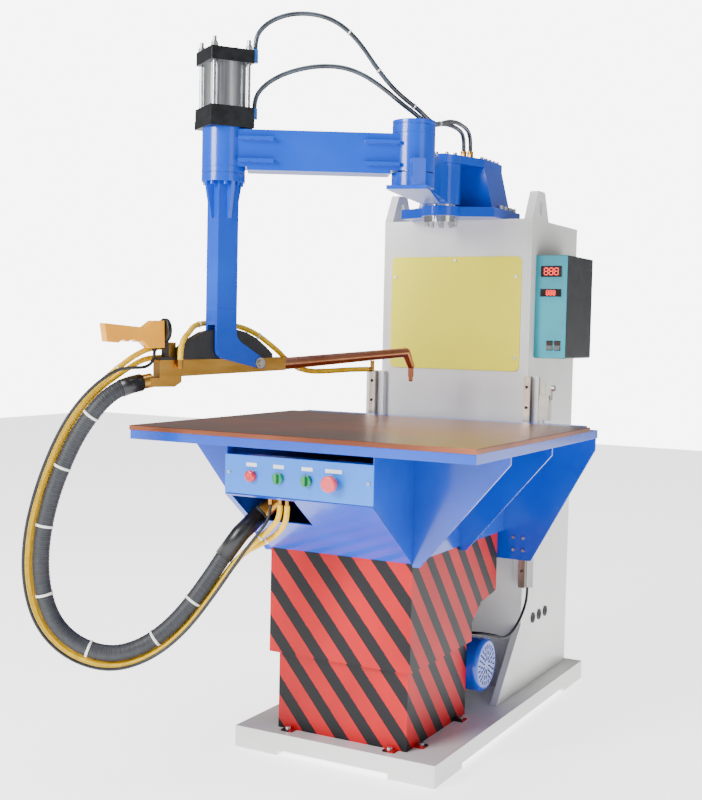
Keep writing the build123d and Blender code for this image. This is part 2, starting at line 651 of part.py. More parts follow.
def shoulder_shaft():
    """Fixed shaft of the shoulder with a thrust ring under the link hub."""
    shaft = post(SHOULDER, (COLUMN_TOP - 10, BRACKET_TOP + 6), SHAFT_R)
    ring = post(SHOULDER, (COLUMN_TOP + BASE_PLATE, COLUMN_TOP + BASE_PLATE + 5), 46) - shaft
    cap = post(SHOULDER, (COLUMN_TOP - 18, COLUMN_TOP), 52) - post(SHOULDER, (COLUMN_TOP - 10, COLUMN_TOP), SHAFT_R)
    return [shaft, ring, cap]


def frame_bolts():
    """Bolt heads of the column, the head bracket, the guard feet and the yellow panel."""
    heads = []
    for n in range(8):
        x, y = polar(SHOULDER, 45 * n + 22.5, 40)
        heads.append(Pos(x, y, COLUMN_TOP - 18) * Rot(180, 0, 0) * cap_head(7, 11))
    for n in range(4):
        for x in (-134, 134):
            heads.append(Pos(x, COLUMN_FRONT + 16 + 34 * n, COLUMN_TOP + BASE_PLATE) * cap_head(9, 13))
    for n in range(5):
        for x in (-80, 80):
            heads.append(Pos(x, COLUMN_FRONT - 8 + 30 * n, BRACKET_TOP) * cap_head(5.5, 8))
    for n in range(5):
        x, y = polar(SHOULDER, 190 + 40 * n, 44)
        heads.append(Pos(x, y, BRACKET_TOP) * cap_head(5.5, 8))
    low, high = COLUMN_TOP - PANEL_DROP - PANEL_RISE, COLUMN_TOP - PANEL_DROP
    for x, z in ((0, high - 12), (-PANEL_HALF + 14, high - 60), (PANEL_HALF - 14, high - 60),
                 (-PANEL_HALF + 14, low + 40), (PANEL_HALF - 14, low + 40)):
        heads.append(Pos(x, COLUMN_FRONT - SHEET, z) * Rot(90, 0, 0) * cap_head(4.5, 4))
    foot = BASE_HEIGHT + 4
    for x in (-GUARD_HALF + 40, GUARD_HALF - 40):
        heads.append(Pos(x, GUARD_FRONT - 15, foot) * hexagon(13, 7))
    for y in (GUARD_FRONT + 60, GUARD_FRONT + GUARD_DEPTH - 60):
        for x in (-GUARD_HALF - 14, GUARD_HALF + 14):
            heads.append(Pos(x, y, foot) * hexagon(13, 7))
    return heads


FITTING_R = 9.0


def hose_fitting(height=26):
    """Push-in air fitting: a hexagon and a collar, standing on the XY plane."""
    return hexagon(17, 10) + Pos(0, 0, (10 + height) / 2) * Cylinder(FITTING_R, height - 10)


def head_fittings():
    """Two air fittings on the upper plate of the head bracket."""
    return [Pos(x, y, BRACKET_TOP) * hose_fitting(HEAD_FITTING) for x, y in HEAD_PORTS]


HEAD_PORTS = ((48.0, HINGE_Y + 42), (63.0, HINGE_Y + 56))
HEAD_FITTING = 18.0


# ---- link 1
def link_1_arm():
    """Shoulder hub, web and the fork that holds the elbow."""
    frame = placed(SHOULDER, LINK_1_TURN)
    low, high = COLUMN_TOP + BASE_PLATE + 5 + GAP, BRACKET_TOP - TOP_PLATE - GAP
    hub = post((0, 0), (low, high), HUB_R)
    web_low, web_high = LINK_LOW + 11, high - 10
    end = LINK_1 - HUB_R - 10
    fork_top = HUB_HIGH + 33
    web = slab((HUB_R - 12, end), (-25, 25), (web_low, web_high))
    riser = plate_xz([(end - 130, web_high), (end, web_high), (end, fork_top), (end - 30, fork_top)], (-25, 25))
    shoulder = hub + web - post((0, 0), (low - 1, high + 1), SHAFT_R + RUN_FIT)
    upper = fork_plate(HUB_HIGH + GAP, fork_top, end)
    upper -= ring_groove(fork_top - 12)
    lower = fork_plate(LINK_LOW, HUB_LOW - 3 - GAP, end)
    floor = plate_xy([(LINK_1 - 260, -28), (LINK_1 + 40, -52), (LINK_1 + 84, -52), (LINK_1 + 84, 52),
                      (LINK_1 + 40, 52), (LINK_1 - 260, 28)], (LINK_LOW - 10, LINK_LOW))
    stop = Pos(LINK_1 + 70, 24, 0) * Rot(0, 0, 30) * slab((-14, 14), (-17, 17), (LINK_LOW, LINK_LOW + 67))
    strip = Pos(LINK_1 + 70, 24, 0) * Rot(0, 0, 30) * slab((-20, -14), (-17, 17), (LINK_LOW, LINK_LOW + 8))
    return [frame * piece for piece in (shoulder, riser, upper, lower, floor, stop, strip)]


def fork_plate(low, high, end):
    """One round end of the elbow fork with the tongue that reaches the web."""
    disc = post((LINK_1, 0), (low, high), HUB_R)
    tongue = slab((end, LINK_1), (-25, 25), (low, high))
    return disc + tongue - post((LINK_1, 0), (low - 1, high + 1), PIN_R)


def ring_groove(z):
    """A shallow turned groove round the elbow cap."""
    return post((LINK_1, 0), (z, z + 3), HUB_R + 1) - post((LINK_1, 0), (z - 1, z + 4), HUB_R - 1.5) \
        - slab((0, LINK_1 - HUB_R + 12), (-80, 80), (z - 2, z + 5))


def elbow_pin():
    """Elbow shaft fixed in the fork, with a thrust washer on its lower plate."""
    pin = post(ELBOW, (LINK_LOW, HUB_HIGH + 33), PIN_R)
    washer = post(ELBOW, (HUB_LOW - 3 - GAP, HUB_LOW - GAP), 40) - pin
    return [pin, washer]


# ---- link 2 with the air cylinder
BEAM_2_HALF = 40.0


def link_2_arm():
    """Box beam between the elbow hub and the head hub, with its weld ribs."""
    frame = placed(ELBOW, LINK_2_TURN)
    elbow_hub = post((0, 0), (HUB_LOW, HUB_HIGH), HUB_R)
    head_hub = post((LINK_2, 0), (HUB_LOW, HUB_HIGH), HUB_R)
    z = (HUB_LOW - 8, HUB_HIGH - 4)
    beam = slab((HUB_R + 6, LINK_2 - HUB_R - 6), (-BEAM_2_HALF, BEAM_2_HALF), z)
    beam -= slab((HUB_R + 5, LINK_2 - HUB_R - 5), (-BEAM_2_HALF + 6, BEAM_2_HALF - 6), (z[0] + 6, z[1] - 6))
    neck = [slab((20, HUB_R + 6), (-BEAM_2_HALF, BEAM_2_HALF), (HUB_LOW, HUB_HIGH - 4)),
            slab((LINK_2 - HUB_R - 6, LINK_2 - 20), (-BEAM_2_HALF, BEAM_2_HALF), (HUB_LOW, HUB_HIGH - 4))]
    body = elbow_hub + head_hub + beam + neck[0] + neck[1]
    for x in (38, LINK_2 - 38 - RIB_LENGTH):
        for rib_z in (HUB_HIGH - 27, HUB_HIGH - 82):
            body += slab((x, x + RIB_LENGTH), (-RIB_HALF, RIB_HALF), (rib_z - 4, rib_z + 4))
    body -= slab((HUB_R + 7, LINK_2 - HUB_R - 7), (-BEAM_2_HALF + 6, BEAM_2_HALF - 6), (z[0] + 6, z[1] - 6))
    body -= post((0, 0), (HUB_LOW - 1, HUB_HIGH + 1), PIN_R + RUN_FIT)
    body -= post((LINK_2, 0), (HUB_LOW - 1, HUB_HIGH + 1), RAM_R + RUN_FIT)
    return frame * body


RIB_LENGTH = 90.0
RIB_HALF = 54.0
CAP_TURN = 55.6
ROD_R = 12.5


def cylinder_caps():
    """Mounting flange, lower cap and upper cap of the air cylinder."""
    frame = placed(HEAD, CAP_TURN)
    ties = [(sx * TIE_OUT, sy * TIE_OUT) for sx in (-1, 1) for sy in (-1, 1)]
    flange = square(CAP_SIDE + 2, (HUB_HIGH, CAP_LOW)) - post((0, 0), (HUB_HIGH - 1, CAP_LOW + 1), RAM_R + 1)
    lower = square(CAP_SIDE, (CAP_LOW, CAP_LOW + 30)) - post((0, 0), (CAP_LOW - 1, CAP_LOW + 31), ROD_R + RUN_FIT)
    upper = square(CAP_SIDE, (CAP_TOP - 33, CAP_TOP))
    upper = fillet(upper.edges().filter_by(Axis.Z), 3)
    for place in ties:
        lower -= post(place, (CAP_LOW - 1, CAP_TOP + 1), TIE_R)
        upper -= post(place, (CAP_LOW - 1, CAP_TOP + 1), TIE_R)
    return [frame * piece for piece in (flange, lower, upper)]


TIE_OUT = 46.0
TIE_R = 5.0


def cylinder_barrel():
    z = (CAP_LOW + 30, CAP_TOP - 33)
    return placed(HEAD, CAP_TURN) * (post((0, 0), z, BORE_R + 3.5) - post((0, 0), (z[0] - 1, z[1] + 1), BORE_R))


def tie_rods():
    """Four tie rods with a nut and a washer on the upper cap."""
    frame = placed(HEAD, CAP_TURN)
    rods = []
    for sx in (-1, 1):
        for sy in (-1, 1):
            x, y = sx * TIE_OUT, sy * TIE_OUT
            rod = post((x, y), (CAP_LOW, CAP_TOP + 25), TIE_R)
            rods.append(frame * (rod + Pos(x, y, CAP_TOP) * hexagon(17, 9) + post((x, y), (CAP_TOP + 9, CAP_TOP + 13), 7)))
    return rods


PORT_OUT = 12.0        # fitting axis outside the cap face
PORT_ALONG = -30.0
PORT_HEIGHTS = (CAP_LOW + 15, CAP_TOP - 17)
PORT_RISE = (18.0, 25.0)


def cylinder_fittings():
    """An air elbow on the side of each cap, and a silencer on the upper one."""
    frame = placed(HEAD, CAP_TURN)
    half = CAP_SIDE / 2
    pieces = []
    for z, rise in zip(PORT_HEIGHTS, PORT_RISE):
        stub = Pos(half, PORT_ALONG, z) * Rot(0, 90, 0) * hexagon(15, PORT_OUT)
        collar = post((half + PORT_OUT, PORT_ALONG), (z - FITTING_R, z + rise), FITTING_R - 1.5)
        pieces.append(stub + collar)
    pieces.append(Pos(half, 12, PORT_HEIGHTS[1]) * Rot(0, 90, 0) * (hexagon(14, 6) + Pos(0, 0, 12) * Cylinder(6, 12)))
    return [frame * piece for piece in pieces]


def ram():
    """Piston, piston rod and the guide shaft that carries the post."""
    guide = post(HEAD, (COLLAR_LOW + 8, HUB_HIGH - 14), RAM_R)
    rod = post(HEAD, (HUB_HIGH - 14, CAP_TOP - 62), ROD_R)
    piston = post(HEAD, (CAP_TOP - 62, CAP_TOP - 38), BORE_R - RUN_FIT)
    return [guide, rod, piston]


# ---- post
def post_column():
    """Collar, square tube, spacer and four stiffening ribs."""
    frame = placed(HEAD, POST_TURN)
    collar = post((0, 0), (COLLAR_LOW, HUB_LOW - GAP), HUB_R)
    collar -= post((0, 0), (COLLAR_LOW + 8 - GAP, HUB_LOW + 1), RAM_R + RUN_FIT)
    collar -= post((0, 0), (COLLAR_LOW + 20, COLLAR_LOW + 22.5), HUB_R + 1) \
        - post((0, 0), (COLLAR_LOW + 19, COLLAR_LOW + 24), HUB_R - 1.5)
    half = POST_SIDE / 2
    tube = square(POST_SIDE, (FORK_TOP, COLLAR_LOW)) - square(POST_SIDE - 10, (FORK_TOP - 1, COLLAR_LOW + 1))
    spacer = square(POST_SIDE, (FORK_TOP - 42, FORK_TOP))
    for face in ((-half, -half + FORK_PLATE), (half - FORK_PLATE, half)):
        spacer -= slab((-half - 1, half + 1), face, (FORK_TOP - 43, FORK_TOP + 1))
    rib = plate_xz([(half, COLLAR_LOW - 92), (half, COLLAR_LOW), (HUB_R - 3, COLLAR_LOW), (half + 6, COLLAR_LOW - 92)],
                   (-5, 5))
    ribs = [Rot(0, 0, turn) * rib for turn in (0, 90, 180, 270)]
    bolts = []
    for n in range(8):
        x, y = polar((0, 0), 22.5 + 45 * n, 46)
        bolts.append(Pos(x, y, COLLAR_LOW) * Rot(180, 0, 0) * cap_head(5.5, 9))
    return [frame * piece for piece in [collar, tube, spacer] + ribs + bolts]


FORK_TOP = PIVOT_Z + 138


def fork_plates():
    """Two boot-shaped plates that hold the beam pivot."""
    frame = placed(HEAD, POST_TURN)
    half = POST_SIDE / 2
    z = PIVOT_Z
    shape = [(-half, FORK_TOP), (-half, z + 15, 24), (PIVOT_AHEAD + 17, z - 18, 12),
             (PIVOT_AHEAD + 17, z + 8, 10), (half, z + 62, 34), (half, FORK_TOP)]
    plates = []
    for y in ((-half, -half + FORK_PLATE), (half - FORK_PLATE, half)):
        plates.append(plate_xz(shape, y) - bar_y((PIVOT_AHEAD, z), (y[0] - 1, y[1] + 1), PIVOT_R))
    return [frame * piece for piece in plates]


PIVOT_R = 8.0


def pivot_pin():
    """Pin of the beam with a washer and a head outside each fork plate."""
    half = POST_SIDE / 2
    pin = bar_y((PIVOT_AHEAD, PIVOT_Z), (-half - 4, half + 4), PIVOT_R)
    for side in (-1, 1):
        face = side * half
        pin += bar_y((PIVOT_AHEAD, PIVOT_Z), sorted((face, face + side * 4)), 14)
        pin += bar_y((PIVOT_AHEAD, PIVOT_Z), sorted((face + side * 4, face + side * 12)), 8)
    return placed(HEAD, POST_TURN) * pin


# ---- welding beam
def beam_frame():
    """Local frame of the beam in plan: X along the beam from the post axis."""
    return placed(HEAD, POST_TURN)


BAR_REAR = -182.0
BAR_FRONT = 187.0
BAR_RISE = 9.0         # how much the top of the bar climbs from rear to front


def bar_top(along):
    """Height of the bar's top face at a distance from the post axis."""
    return PIVOT_Z + 6 + BAR_RISE * (along - BAR_REAR) / (BAR_FRONT - BAR_REAR)


def bar_outline():
    z = PIVOT_Z
    return [(BAR_REAR, bar_top(BAR_REAR)), (BAR_REAR, z - 37), (BAR_FRONT, z - 19), (BAR_FRONT, bar_top(BAR_FRONT))]


FERRULE = 26.0
FERRULE_TILT = 10.0    # degrees that the cable leaves the block below level
FERRULE_END = (-196 - FERRULE * cos(radians(FERRULE_TILT)), PIVOT_Z - 44 - FERRULE * sin(radians(FERRULE_TILT)))
BLOCK_REAR = -206.0
MANIFOLD = (-141.0, -119.0)
NEAR_PORT = -133.0     # the jumper hose leaves the near side of the bar here
ARM_PORT = 487.0


def brass_bar():
    """Tapered bar on the pivot, terminal block, water manifold and hose fittings."""
    z = PIVOT_Z
    half = BAR_WIDTH / 2
    bar = plate_xz(bar_outline(), (-half, half))
    bar -= bar_y((PIVOT_AHEAD, z), (-half - 1, half + 1), PIVOT_R + RUN_FIT)
    block = plate_xz([(BLOCK_REAR, z - 60), (-140, z - 60), (-121, z - 48), (-121, z - 34), (BLOCK_REAR, z - 38.2)],
                     (-half, half))
    block -= plate_xz(bar_outline(), (-half - 1, half + 1))
    barrel = Plane(origin=(FERRULE_END[0], 0, FERRULE_END[1]), x_dir=(0, 1, 0),
                   z_dir=(cos(radians(FERRULE_TILT)), 0, sin(radians(FERRULE_TILT))))
    block += extrude(barrel * Circle(half), FERRULE)
    manifold = slab(MANIFOLD, (half, half + 20), (z - 8, z + 50))
    nipple = bar_y((NEAR_PORT, z - 8), (-half - 18, -half), 6)
    elbow = post((NEAR_PORT, -half - 14), (z - 14, z + 8), WATER_HOSE / 2)
    drop = post((ARM_PORT, 0), (z - 24, z + 6), 6)
    inlet = bar_x((0, z - 18), (ARM_PORT - 16, ARM_PORT - 4), WATER_HOSE / 2)
    return [beam_frame() * piece for piece in (bar, block, manifold, nipple + elbow, drop + inlet)]


ARM_START_R = 16.0
ARM_END_R = 13.0


def copper_arm():
    """Turned copper arm, its bent end and the electrode tip."""
    start, end = (BAR_FRONT, PIVOT_Z - 3), (606.0, PIVOT_Z + 30)
    slope = degrees(atan2(end[1] - start[1], end[0] - start[0]))
    length = hypot(end[0] - start[0], end[1] - start[1])
    arm = Pos(start[0], 0, start[1]) * Rot(0, 90 - slope, 0) * Pos(0, 0, length / 2) \
        * Cone(ARM_START_R, ARM_END_R, length)
    socket = Pos(end[0], 0, end[1]) * Sphere(ARM_END_R)
    drop = Pos(end[0], 0, end[1]) * Rot(0, 180 - 26, 0) * Pos(0, 0, 22) * Cone(ARM_END_R, 10, 44)
    foot = (end[0] + 44 * sin(radians(26)), end[1] - 44 * cos(radians(26)))
    joint = Pos(foot[0], 0, foot[1]) * Sphere(10)
    holder = Pos(foot[0], 0, foot[1] - 15) * Cylinder(8, 30)
    tip = Pos(foot[0], 0, foot[1] - 37) * Cylinder(6, 14)
    tip = fillet(tip.edges().sort_by(Axis.Z)[0], 3)
    body = arm + socket + drop + joint + holder
    trim = slab((0, start[0] + 0.05), (-40, 40), (start[1] - 40, start[1] + 40))
    port = post((ARM_PORT, 0), (PIVOT_Z - 24, PIVOT_Z + 6), 6)
    return [beam_frame() * piece for piece in (body - trim - port, tip)]


GRIP_PORT = -188.0     # the thin cable enters the grip here


def grip_body():
    """Pistol grip with finger notches, in the local frame of the beam."""
    z = PIVOT_Z
    grip = plate_xz([(-329, z + 95, 3), (-322, z + 50, 3), (-290, z + 48, 5), (-279, z + 57, 5), (-266, z + 50, 4),
                     (-255, z + 57, 5), (-240, z + 50, 5), (-229, z + 53, 4), (-210, z + 35, 3), (-166, z + 37, 2),
                     (-168, z + 104, 2), (-200, z + 103, 8), (-222, z + 86, 14)], (-15, 15))
    flanks = grip.faces().sort_by(Axis.Y)
    return fillet(flanks[0].edges() + flanks[-1].edges(), 2.5)


def handle():
    return beam_frame() * grip_body()


def handle_mount():
    """Round guard behind the grip, its stand and the foot on the bar."""
    z = PIVOT_Z
    disc = bar_x((0, z + 80), (-166, -154), 30)
    disc = fillet(disc.edges(), 3)
    stand = slab((-163, -155), (-12, 12), (z + 12, z + 56))
    foot = plate_xz([(-178, bar_top(-178)), (-128, bar_top(-128)), (-128, z + 13), (-178, z + 13)], (-16, 16))
    gland = post((GRIP_PORT, 0), (z + 28, z + 36), THIN_CABLE / 2 + 2) - grip_body()
    return [beam_frame() * piece for piece in (disc + stand + foot, gland)]


def hose_saddle():
    """Ribbed arch clamped on the bar, which carries the jumper hose."""
    z = PIVOT_Z
    half = BAR_WIDTH / 2 - 2
    arch = plate_xz([(-121, z + 9), (-121, z + 38, 6), (-93, z + 58, 10), (-59, z + 77, 14), (-10, z + 88, 30),
                     (36, z + 86, 20), (67, z + 79, 14), (99, z + 63, 12), (125, z + 44, 8), (147, z + 24, 6),
                     (147, z + 14.5)], (-half, half))
    arch -= plate_xz(bar_outline(), (-40, 40))
    return beam_frame() * arch


# ---- screws of the table
def table_screws():
    """Heads of the small screws of the panels and of the rail blocks."""
    heads = []
    for n in range(5):
        heads.append(Pos(-150 + 75 * n, PANEL_FRONT + 60, RIM_BOTTOM) * Rot(180, 0, 0) * cap_head(4, 3))
    for side in (-1, 1):
        heads.append(Pos(side * (HOUSING_HALF - 12), PANEL_FRONT, BUTTON_Z + 6) * Rot(90, 0, 0) * cap_head(4, 3.5))
    for low in (RIM_BOTTOM - 362, RIM_BOTTOM - 110):
        for dx in (-15, 15):
            for dz in (22, 58):
                for side in (-1, 1):
                    place = Pos(side * (RAIL_X + dx), CARRIAGE_FRONT, low + dz)
                    heads.append(place * Rot(90, 0, 0) * cap_head(4.5, 5))
    return heads


# ---- cords: routes of the free hoses and cables
def cord(points, diameter):
    """A tube on straight runs joined by tangent arcs, each as large as its runs allow."""
    radii = []
    for a, b, c in zip(points, points[1:], points[2:]):
        before, after = Vector(b) - Vector(a), Vector(c) - Vector(b)
        turn = before.get_angle(after)
        radii.append(0.45 * min(before.length, after.length) / tan(radians(turn / 2)))
    path = FilletPolyline(*points, radius=radii)
    start = Vector(*points[1]) - Vector(*points[0])
    section = Plane(origin=points[0], z_dir=start) * Circle(diameter / 2)
    tube = sweep(section, path=path)
    expected = pi * diameter ** 2 / 4 * path.length
    print(f"cord d{diameter:.0f} length {path.length:.0f} tightest {min(radii) / diameter:.1f} d "
          f"volume ratio {tube.volume / expected:.4f} radii {[round(r) for r in radii]}")
    return tube


def along_beam(along, side, z):
    """A point beside the beam: distance from the post axis, offset to its far side, height."""
    x, y = polar(HEAD, POST_TURN, along)
    return (x - side * sin(radians(POST_TURN)), y + side * cos(radians(POST_TURN)), z)


MAIN_ROUTE = [
    along_beam(FERRULE_END[0], 0, FERRULE_END[1]),
    along_beam(FERRULE_END[0] - 39.4, 0, FERRULE_END[1] - 6.95), (-418, -949, 960),
    (-441, -975, 927), (-480, -992, 868), (-506, -1008, 806), (-539, -1026, 710), (-557, -1040, 600),
    (-558, -1040, 495), (-535, -1026, 402), (-484, -996, 342), (-410, -954, 316), (-340, -908, 340),
    (-277, -863, 402), (-222, -821, 495), (-180, -785, 582), (-148, -758, 636), TERMINAL]
SUPPLY_ROUTE = [
    (PIPE_X[0], PIPE_Y, PIPE_END), (PIPE_X[0], PIPE_Y, PIPE_END - 30), (-80, -753, 634), (-114, -765, 604), (-153, -782, 560),
    (-199, -813, 478), (-256, -858, 380), (-325, -906, 312), (-408, -960, 284), (-497, -1009, 316),
    (-557, -1044, 387), (-584, -1060, 491), (-583, -1060, 604), (-563, -1046, 719), (-529, -1025, 828),
    (-493, -1002, 909), (-453, -970, 972), (-418, -930, 1020), along_beam(-228, 18, PIVOT_Z + 20),
    along_beam(-178, 28, PIVOT_Z + 38), along_beam(MANIFOLD[0], 28, PIVOT_Z + 38)]
RETURN_ROUTE = [
    (PIPE_X[1], PIPE_Y, PIPE_END), (PIPE_X[1], PIPE_Y, PIPE_END - 32), (-60, -734, 632), (-98, -734, 600), (-163, -763, 565),
    (-210, -800, 480), (-267, -842, 384), (-336, -891, 315), (-417, -943, 287), (-502, -992, 318),
    (-562, -1026, 389), (-587, -1042, 491), (-586, -1042, 602), (-568, -1027, 716), (-534, -1007, 825),
    (-498, -984, 905), (-460, -952, 966), (-424, -908, 1008), along_beam(-212, 30, PIVOT_Z + 4),
    along_beam(-177, 28, PIVOT_Z + 12), along_beam(MANIFOLD[0], 28, PIVOT_Z + 12)]
CONTROL_ROUTE = [
    (GLAND_X, PIPE_Y, PIPE_END), (GLAND_X, PIPE_Y, PIPE_END - 26), (-92, -766, 640), (-116, -784, 602), (-144, -794, 560),
    (-190, -826, 474), (-247, -870, 377), (-318, -919, 308), (-402, -973, 280), (-493, -1023, 312),
    (-555, -1060, 386), (-582, -1076, 491), (-581, -1076, 605), (-561, -1061, 720), (-527, -1040, 830),
    (-491, -1017, 912), (-449, -985, 976), (-406, -946, 1018), along_beam(-256, -18, PIVOT_Z - 12),
    along_beam(-228, -12, PIVOT_Z - 12), along_beam(-211, -8, PIVOT_Z - 9), along_beam(-197, -3, PIVOT_Z - 1),
    along_beam(GRIP_PORT, 0, PIVOT_Z + 13), along_beam(GRIP_PORT, 0, PIVOT_Z + 28)]
JUMPER_SIDE = BAR_WIDTH / 2 + 14
JUMPER_ROUTE = [
    along_beam(NEAR_PORT, -JUMPER_SIDE, PIVOT_Z + 8), along_beam(NEAR_PORT, -JUMPER_SIDE, PIVOT_Z + 34),
    along_beam(-122, -26, PIVOT_Z + 60), along_beam(-96, -8, PIVOT_Z + 76), along_beam(-68, 22, PIVOT_Z + 92),
    along_beam(-34, 44, PIVOT_Z + 99), along_beam(10, 48, PIVOT_Z + 102), along_beam(52, 44, PIVOT_Z + 98),
    along_beam(88, 26, PIVOT_Z + 89), along_beam(122, 14, PIVOT_Z + 71), along_beam(154, 12, PIVOT_Z + 49),
    along_beam(186, 18, PIVOT_Z + 30), along_beam(214, 28, PIVOT_Z + 10), along_beam(244, 26, PIVOT_Z - 12),
    along_beam(280, 10, PIVOT_Z - 24), along_beam(330, 1, PIVOT_Z - 23), along_beam(384, 0, PIVOT_Z - 20),
    along_beam(434, 0, PIVOT_Z - 18), along_beam(ARM_PORT - 16, 0, PIVOT_Z - 18)]


def cap_port(n, above=0):
    """Where an air hose stands on the elbow of a cylinder cap, or straight above it."""
    x, y = polar(HEAD, CAP_TURN, CAP_SIDE / 2 + PORT_OUT)
    return (x - PORT_ALONG * sin(radians(CAP_TURN)), y + PORT_ALONG * cos(radians(CAP_TURN)),
            PORT_HEIGHTS[n] + PORT_RISE[n] + above)


def head_port(n, above=0):
    x, y = HEAD_PORTS[n]
    return (x, y, BRACKET_TOP + HEAD_FITTING + above)


AIR_UPPER_ROUTE = [
    cap_port(1), cap_port(1, 30), (-206, -631, 1886), (-180, -617, 1906), (-144, -598, 1919),
    (-102, -575, 1921), (-60, -552, 1911), (-22, -530, 1886), (12, -508, 1845), (46, -486, 1788),
    (80, -460, 1740), (106, -428, 1712), (122, -390, 1694), (126, -346, 1678), (120, -288, 1675),
    (108, -222, 1688), (98, -150, 1706), (88, -76, 1715), (79, -14, 1716), (72, 34, 1713), (67.5, 60, 1706),
    (65, 75, 1693), head_port(1, 19), head_port(1)]
AIR_LOWER_ROUTE = [
    cap_port(0), cap_port(0, 26), (-204, -631, 1736), (-170, -614, 1762), (-126, -592, 1780),
    (-76, -566, 1790), (-26, -541, 1788), (16, -520, 1773), (48, -502, 1752), (76, -480, 1728),
    (98, -448, 1704), (106, -398, 1690), (110, -348, 1678), (104, -290, 1675), (92, -226, 1684),
    (82, -156, 1699), (72, -86, 1707), (64, -26, 1709), (57, 22, 1707), (53, 46, 1701), (50, 61, 1690),
    head_port(0, 18), head_port(0)]
MOTOR_ROUTE = [
    (148, JACK_Y, MOTOR_Z + 86), (174, JACK_Y, MOTOR_Z + 86), (204, -70, 271), (233, -56, 267), (251, -27, 254),
    (258, 14, 258), (262, 56, 280), (262, 86, 297), (262.5, 110, 318), (263, COLUMN_FRONT - 11, RAIL_LOW - 32),
    (263, COLUMN_FRONT - 11, RAIL_LOW)]


def build_all():
    return {
        "base_frame": base_frame, "column_sides": column_sides, "column_plates": column_plates,
        "yellow_panel": yellow_panel, "rail_bars": rail_bars, "linear_rails": linear_rails,
        "limit_switch": limit_switch, "switch_lever": switch_lever, "lower_guard": lower_guard,
        "jack_housing": jack_housing, "lift_motor": lift_motor, "control_box": control_box,
        "control_face": control_face, "rocker_left": lambda: rocker(ROCKER_X[0]),
        "rocker_right": lambda: rocker(ROCKER_X[1]), "head_bracket": head_bracket,
        "shoulder_shaft": shoulder_shaft, "frame_bolts": frame_bolts, "head_fittings": head_fittings,
        "linear_blocks": linear_blocks, "back_plate": back_plate, "table_frame": table_frame,
        "copper_tops": copper_tops, "wings": wings, "housing": housing, "sloped_panel": sloped_panel,
        "button_panel": button_panel, "upper_guard": upper_guard, "transformer": transformer,
        "lift_screw": lift_screw, "lower_terminal": lower_terminal, "panel_lamp": panel_lamp,
        "selector_left": lambda: selector(BUTTON_X[1]), "selector_right": lambda: selector(BUTTON_X[2]),
        "emergency_stop": emergency_stop, "table_screws": table_screws,
        "link_1_arm": link_1_arm, "elbow_pin": elbow_pin, "link_2_arm": link_2_arm,
        "cylinder_caps": cylinder_caps, "cylinder_barrel": cylinder_barrel, "tie_rods": tie_rods,
        "cylinder_fittings": cylinder_fittings, "ram": ram, "post_column": post_column,
        "fork_plates": fork_plates, "pivot_pin": pivot_pin, "brass_bar": brass_bar,
        "copper_arm": copper_arm, "handle": handle, "handle_mount": handle_mount, "hose_saddle": hose_saddle,
        "main_cable": lambda: cord(MAIN_ROUTE, MAIN_CABLE),
        "supply_hose": lambda: cord(SUPPLY_ROUTE, WATER_HOSE),
        "return_hose": lambda: cord(RETURN_ROUTE, WATER_HOSE),
        "control_cable": lambda: cord(CONTROL_ROUTE, THIN_CABLE),
        "jumper_hose": lambda: cord(JUMPER_ROUTE, WATER_HOSE),
        "air_hose_upper": lambda: cord(AIR_UPPER_ROUTE, AIR_HOSE),
        "air_hose_lower": lambda: cord(AIR_LOWER_ROUTE, AIR_HOSE),
        "motor_cable": lambda: cord(MOTOR_ROUTE, THIN_CABLE),
    }


os.makedirs("parts", exist_ok=True)
for name, make in build_all().items():
    export_step(Compound(children=solids_of(make())), f"parts/{name}.step")
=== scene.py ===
import json
from math import cos, pi, radians, sin

import bpy
from mathutils import Matrix, Vector


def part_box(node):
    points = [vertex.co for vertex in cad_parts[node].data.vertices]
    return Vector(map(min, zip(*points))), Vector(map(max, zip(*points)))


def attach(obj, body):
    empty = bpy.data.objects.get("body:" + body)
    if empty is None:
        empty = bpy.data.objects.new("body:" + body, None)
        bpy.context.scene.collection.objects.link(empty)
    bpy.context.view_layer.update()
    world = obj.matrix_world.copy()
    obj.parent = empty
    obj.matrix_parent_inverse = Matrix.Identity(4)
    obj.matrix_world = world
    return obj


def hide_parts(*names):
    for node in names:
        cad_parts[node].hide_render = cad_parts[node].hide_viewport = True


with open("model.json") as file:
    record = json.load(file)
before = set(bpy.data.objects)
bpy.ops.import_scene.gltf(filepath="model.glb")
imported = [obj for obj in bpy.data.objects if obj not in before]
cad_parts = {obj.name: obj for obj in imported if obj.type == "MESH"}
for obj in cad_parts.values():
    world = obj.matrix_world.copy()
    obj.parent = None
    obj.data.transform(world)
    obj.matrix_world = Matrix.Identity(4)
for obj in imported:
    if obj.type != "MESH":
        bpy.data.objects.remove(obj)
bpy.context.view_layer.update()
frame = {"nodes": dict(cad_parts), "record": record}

nodes = frame["nodes"]

# ---- camera and light
# The camera stands to the right of the operator at head height, and the light is a white
# studio: a large soft box in front of the machine, little on its right side, a pale floor.
CAMERA_PLACE = (1.507, -3.268, 1.125)
CAMERA_YAW = 28.6
CAMERA_DROP = 3.16
CAMERA_ROLL = 1.21
camera_data = bpy.data.cameras.new("camera")
camera_data.lens = 54.94
camera_data.sensor_width = 36
camera_data.shift_y = -0.0035
camera = bpy.data.objects.new("camera", camera_data)
bpy.context.scene.collection.objects.link(camera)
turn = (Matrix.Rotation(radians(CAMERA_YAW), 4, "Z") @ Matrix.Rotation(radians(90 - CAMERA_DROP), 4, "X")
        @ Matrix.Rotation(radians(CAMERA_ROLL), 4, "Z"))
camera.matrix_world = Matrix.Translation(CAMERA_PLACE) @ turn
bpy.context.scene.camera = camera


